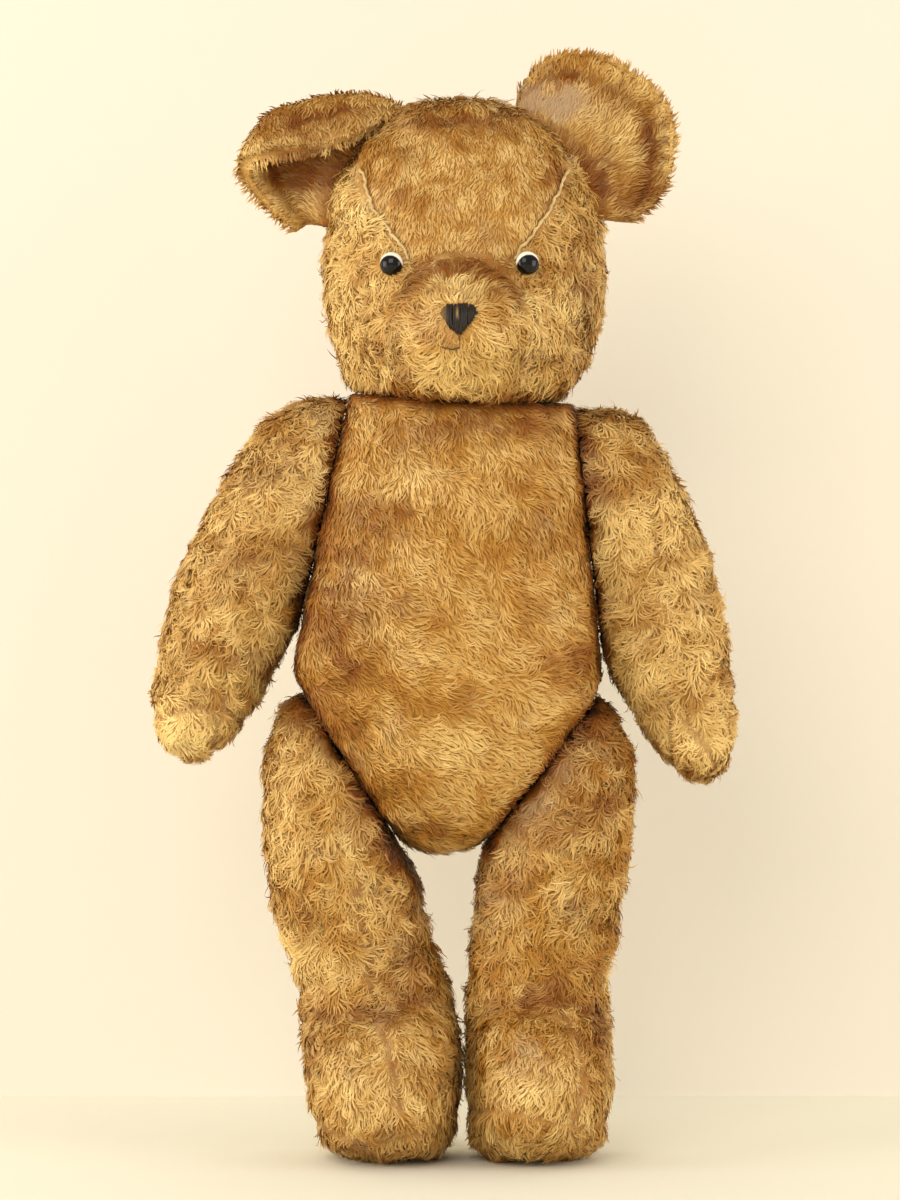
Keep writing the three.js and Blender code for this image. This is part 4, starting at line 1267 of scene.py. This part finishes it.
def nose_and_mouth(material):
    """The nose is upright satin stitches side by side in a shield with round corners, proud in the middle;
    the mouth is one short stitch down from it and a shallow arc."""
    tree = BVHTree.FromObject(bpy.data.objects["head_cover"], bpy.context.evaluated_depsgraph_get())
    low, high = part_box("nose_stitching")
    middle, top, half = (low.x + high.x) / 2, high.z + 1 * MM, (high.x - low.x) / 2
    tall = (high.z - low.z) * 0.92
    rng = np.random.default_rng(31)
    threads, steps = 21, 11
    paths = []
    for share in np.linspace(-1, 1, threads):
        up = top - tall * 0.3 * abs(share) ** 5 + rng.uniform(-0.3, 0.4) * MM
        down = top - tall * (1 - 0.62 * abs(share) ** 1.7) * rng.uniform(0.97, 1.03)
        bulge = 2.6 * MM * np.sin(np.linspace(0, math.pi, steps)) ** 0.6 * (1 - 0.35 * share * share)
        xs = middle + share * half * np.linspace(0.98, 0.9, steps)
        paths.append(surface_line(tree, xs, np.linspace(up, down, steps), bulge + 1.0 * MM))
    nose = joined_tubes("nose_stitches", np.array(paths), np.tile(pointed(steps, 0.72 * MM), (threads, 1)))
    x, z = points_of(nose.data)[:, 0], points_of(nose.data)[:, 2]
    streak = np.exp(-(((x - middle + 1.0 * MM) / (0.55 * MM)) ** 2) - ((z - top + 5 * MM) / (3 * MM)) ** 4)
    edge = ramp(middle - x, half * 0.62, half * 0.9)
    add_attribute(nose.data, "worn", np.clip(0.75 * streak + 0.3 * edge, 0, 1))
    finished(nose, "head", "thread", material, "nose_stitching")
    t = np.linspace(0, 1, steps)
    below = top - tall
    line = surface_line(tree, middle + 0.4 * MM * t, below + 0.5 * MM - 3 * MM * t, 2.2 * MM)
    arc_x = middle - 9 * MM + 10 * MM * t
    arc_z = below - 6 * MM + 1.4 * MM * (2 * t - 1) ** 2
    arc = surface_line(tree, arc_x, arc_z, 2.6 * MM)
    mouth = joined_tubes("mouth_stitches", np.array([line, arc]), np.tile(pointed(steps, 0.5 * MM), (2, 1)))
    add_attribute(mouth.data, "worn", np.full(len(mouth.data.vertices), 0.15))
    finished(mouth, "head", "thread", material, "mouth_stitching")


def brow_seams(material):
    """The two seams of the forehead show as pale raised cords, where the pile is parted: each follows the
    gusset's edge from beside the eye up to the ear."""
    tree = BVHTree.FromObject(bpy.data.objects["head_cover"], bpy.context.evaluated_depsgraph_get())
    steps = 40
    heights = np.linspace(BROW - 3, 129, steps)
    wander = 0.6 * np.sin(heights * 0.45) + 0.35 * np.sin(heights * 1.3)
    paths = []
    for side in SIDE.values():
        inwards = (2.5 - 1.5 * side) * ramp(heights, 95, 128)
        xs = NECK[0] + side * (gusset_edge(heights) + wander - inwards) * MM
        paths.append(surface_line(tree, xs, NECK[2] + heights * MM, 1.7 * MM))
    thick = pointed(steps, 0.85 * MM) * (1 + 0.3 * np.sin(heights * 2.9))
    cords = joined_tubes("brow_seams", np.array(paths), np.tile(thick, (2, 1)))
    finished(cords, "head", "plush", material)


# ---------------------------------------------------------------- stage


CAMERA_PLACE = (0.0039, -2.185, 0.3203)  # level with the bear's middle
CAMERA_LENS = 114.8  # millimetres, for a sensor 36 mm high
LIGHTS = (  # name, place, size and power
    ("key", (-0.7, -2.35, 1.5), 1.4, 25), ("fill_left", (-1.7, -0.7, 0.45), 1.1, 19),
    ("fill_right", (1.7, -0.85, 0.5), 1.1, 15))


def stage(colours):
    """Pale floor and wall, one big soft light above the camera, a weaker one on each side, and a camera at
    the bear's middle height."""
    scene = bpy.context.scene
    wide, wall_y, near, tall, fillet = 3.0, 0.288, -3.0, 3.0, 0.004
    profile = np.array([(near, 0.0), (wall_y - fillet, 0.0), (wall_y, fillet), (wall_y, tall)])
    floor = new_object("floor", np.array([(x, y, z) for y, z in profile[:2] for x in (-wide, wide)]),
                       [(0, 1, 3, 2)])
    wall = new_object("wall", np.array([(x, y, z) for y, z in profile[1:] for x in (-wide, wide)]),
                      [(0, 1, 3, 2), (2, 3, 5, 4)])
    floor.data.materials.append(studio_paint("floor_paint", colours.floor))
    wall.data.materials.append(studio_paint("wall_paint", colours.wall, see_through_behind=True))
    world = bpy.data.worlds.new("studio")
    world.use_nodes = True
    world.node_tree.nodes["Background"].inputs[0].default_value = (*linear("#FFF8EC"), 1)
    world.node_tree.nodes["Background"].inputs[1].default_value = 0.7
    scene.world = world
    for name, place, size, power in LIGHTS:
        light = bpy.data.lights.new(name, "AREA")
        light.energy = power
        light.size = size
        light.color = linear("#FFF5E6")
        lamp = placed(name, light)
        lamp.location = place
        lamp.rotation_euler = (Vector((0, 0, 0.3)) - Vector(place)).to_track_quat("-Z", "Y").to_euler()
    camera = bpy.data.cameras.new("camera")
    camera.sensor_fit = "VERTICAL"
    camera.sensor_height = 36
    camera.lens = CAMERA_LENS
    eye = placed("camera", camera)
    eye.location = CAMERA_PLACE
    eye.rotation_euler = (math.radians(90), 0, 0)
    scene.camera = eye
    scene.view_settings.view_transform = "Standard"


# ---------------------------------------------------------------- operators and panel


class BearPart(bpy.types.Operator):
    """One part of the bear, built from the scene's sizes and colours."""
    bl_options = {"REGISTER", "UNDO"}

    def execute(self, context):
        self.build(context.scene.bear_sizes, context.scene.bear_colours)
        return {"FINISHED"}


def build_stage(self, sizes, colours):
    stage(colours)


def build_covers(self, sizes, colours):
    cloth = matted_underfur(colours)
    for body in COVER_NODES:
        stuffed_cover(body, sizes, cloth)


def build_ears(self, sizes, colours):
    for side in SIDE:
        ear_piece(side, sizes, bpy.data.materials["matted_underfur"])


def build_pile(self, sizes, colours):
    hair = mohair(colours)
    for seed, body in enumerate(PILE_SHARE):
        grow_pile(body, FIRST_PILE_SEED + seed, sizes, hair)


def build_eyes(self, sizes, colours):
    glass = eye_glass(colours)
    for side in SIDE:
        eye_piece(side, glass)


def build_stitching(self, sizes, colours):
    nose_and_mouth(cotton_floss(colours))
    brow_seams(seam_cotton())


def build_hardware(self, sizes, colours):
    board, steel = hardboard(), dull_steel()
    for name, node in frame["nodes"].items():
        if "disc" in name or "washer" in name or "pin" in name:
            node.material_slots[0].material = board if "disc" in name else steel


def operator_for(key, label, tip, build):
    return type("BEAR_OT_" + key, (BearPart,), {
        "bl_idname": "bear." + key, "bl_label": label, "bl_description": tip, "build": build})


OPERATORS = (
    operator_for("stage", "Stage", "Sets up the floor, wall, lights and camera", build_stage),
    operator_for("covers", "Stuffed covers", "Makes the six stuffed covers", build_covers),
    operator_for("ears", "Ears", "Makes the standing ear and the folded one", build_ears),
    operator_for("pile", "Mohair pile", "Grows the mohair on the covers and ears", build_pile),
    operator_for("eyes", "Eyes", "Makes the glass eyes", build_eyes),
    operator_for("stitching", "Nose, mouth and seams", "Stitches the nose, mouth and brow", build_stitching),
    operator_for("hardware", "Joint hardware", "Finishes the discs, washers and pins", build_hardware),
)


class BEAR_PT_panel(bpy.types.Panel):
    """Lists the bear's parts and settings"""
    bl_label = "Teddy bear"
    bl_space_type = "VIEW_3D"
    bl_region_type = "UI"
    bl_category = "Bear"

    def draw(self, context):
        for operator in OPERATORS:
            self.layout.operator(operator.bl_idname)
        for group in (context.scene.bear_sizes, context.scene.bear_colours):
            for key in group.bl_rna.properties.keys():
                if key not in {"rna_type", "name"}:
                    self.layout.prop(group, key)


CLASSES = (BearSizes, BearColours, *OPERATORS, BEAR_PT_panel)


def register():
    for cls in CLASSES:
        bpy.utils.register_class(cls)
    bpy.types.Scene.bear_sizes = PointerProperty(type=BearSizes)
    bpy.types.Scene.bear_colours = PointerProperty(type=BearColours)


def unregister():
    del bpy.types.Scene.bear_colours
    del bpy.types.Scene.bear_sizes
    for cls in reversed(CLASSES):
        bpy.utils.unregister_class(cls)


def main():
    register()
    for operator in OPERATORS:
        getattr(bpy.ops.bear, operator.bl_idname.split(".")[1])()


if __name__ == "__main__":
    main()
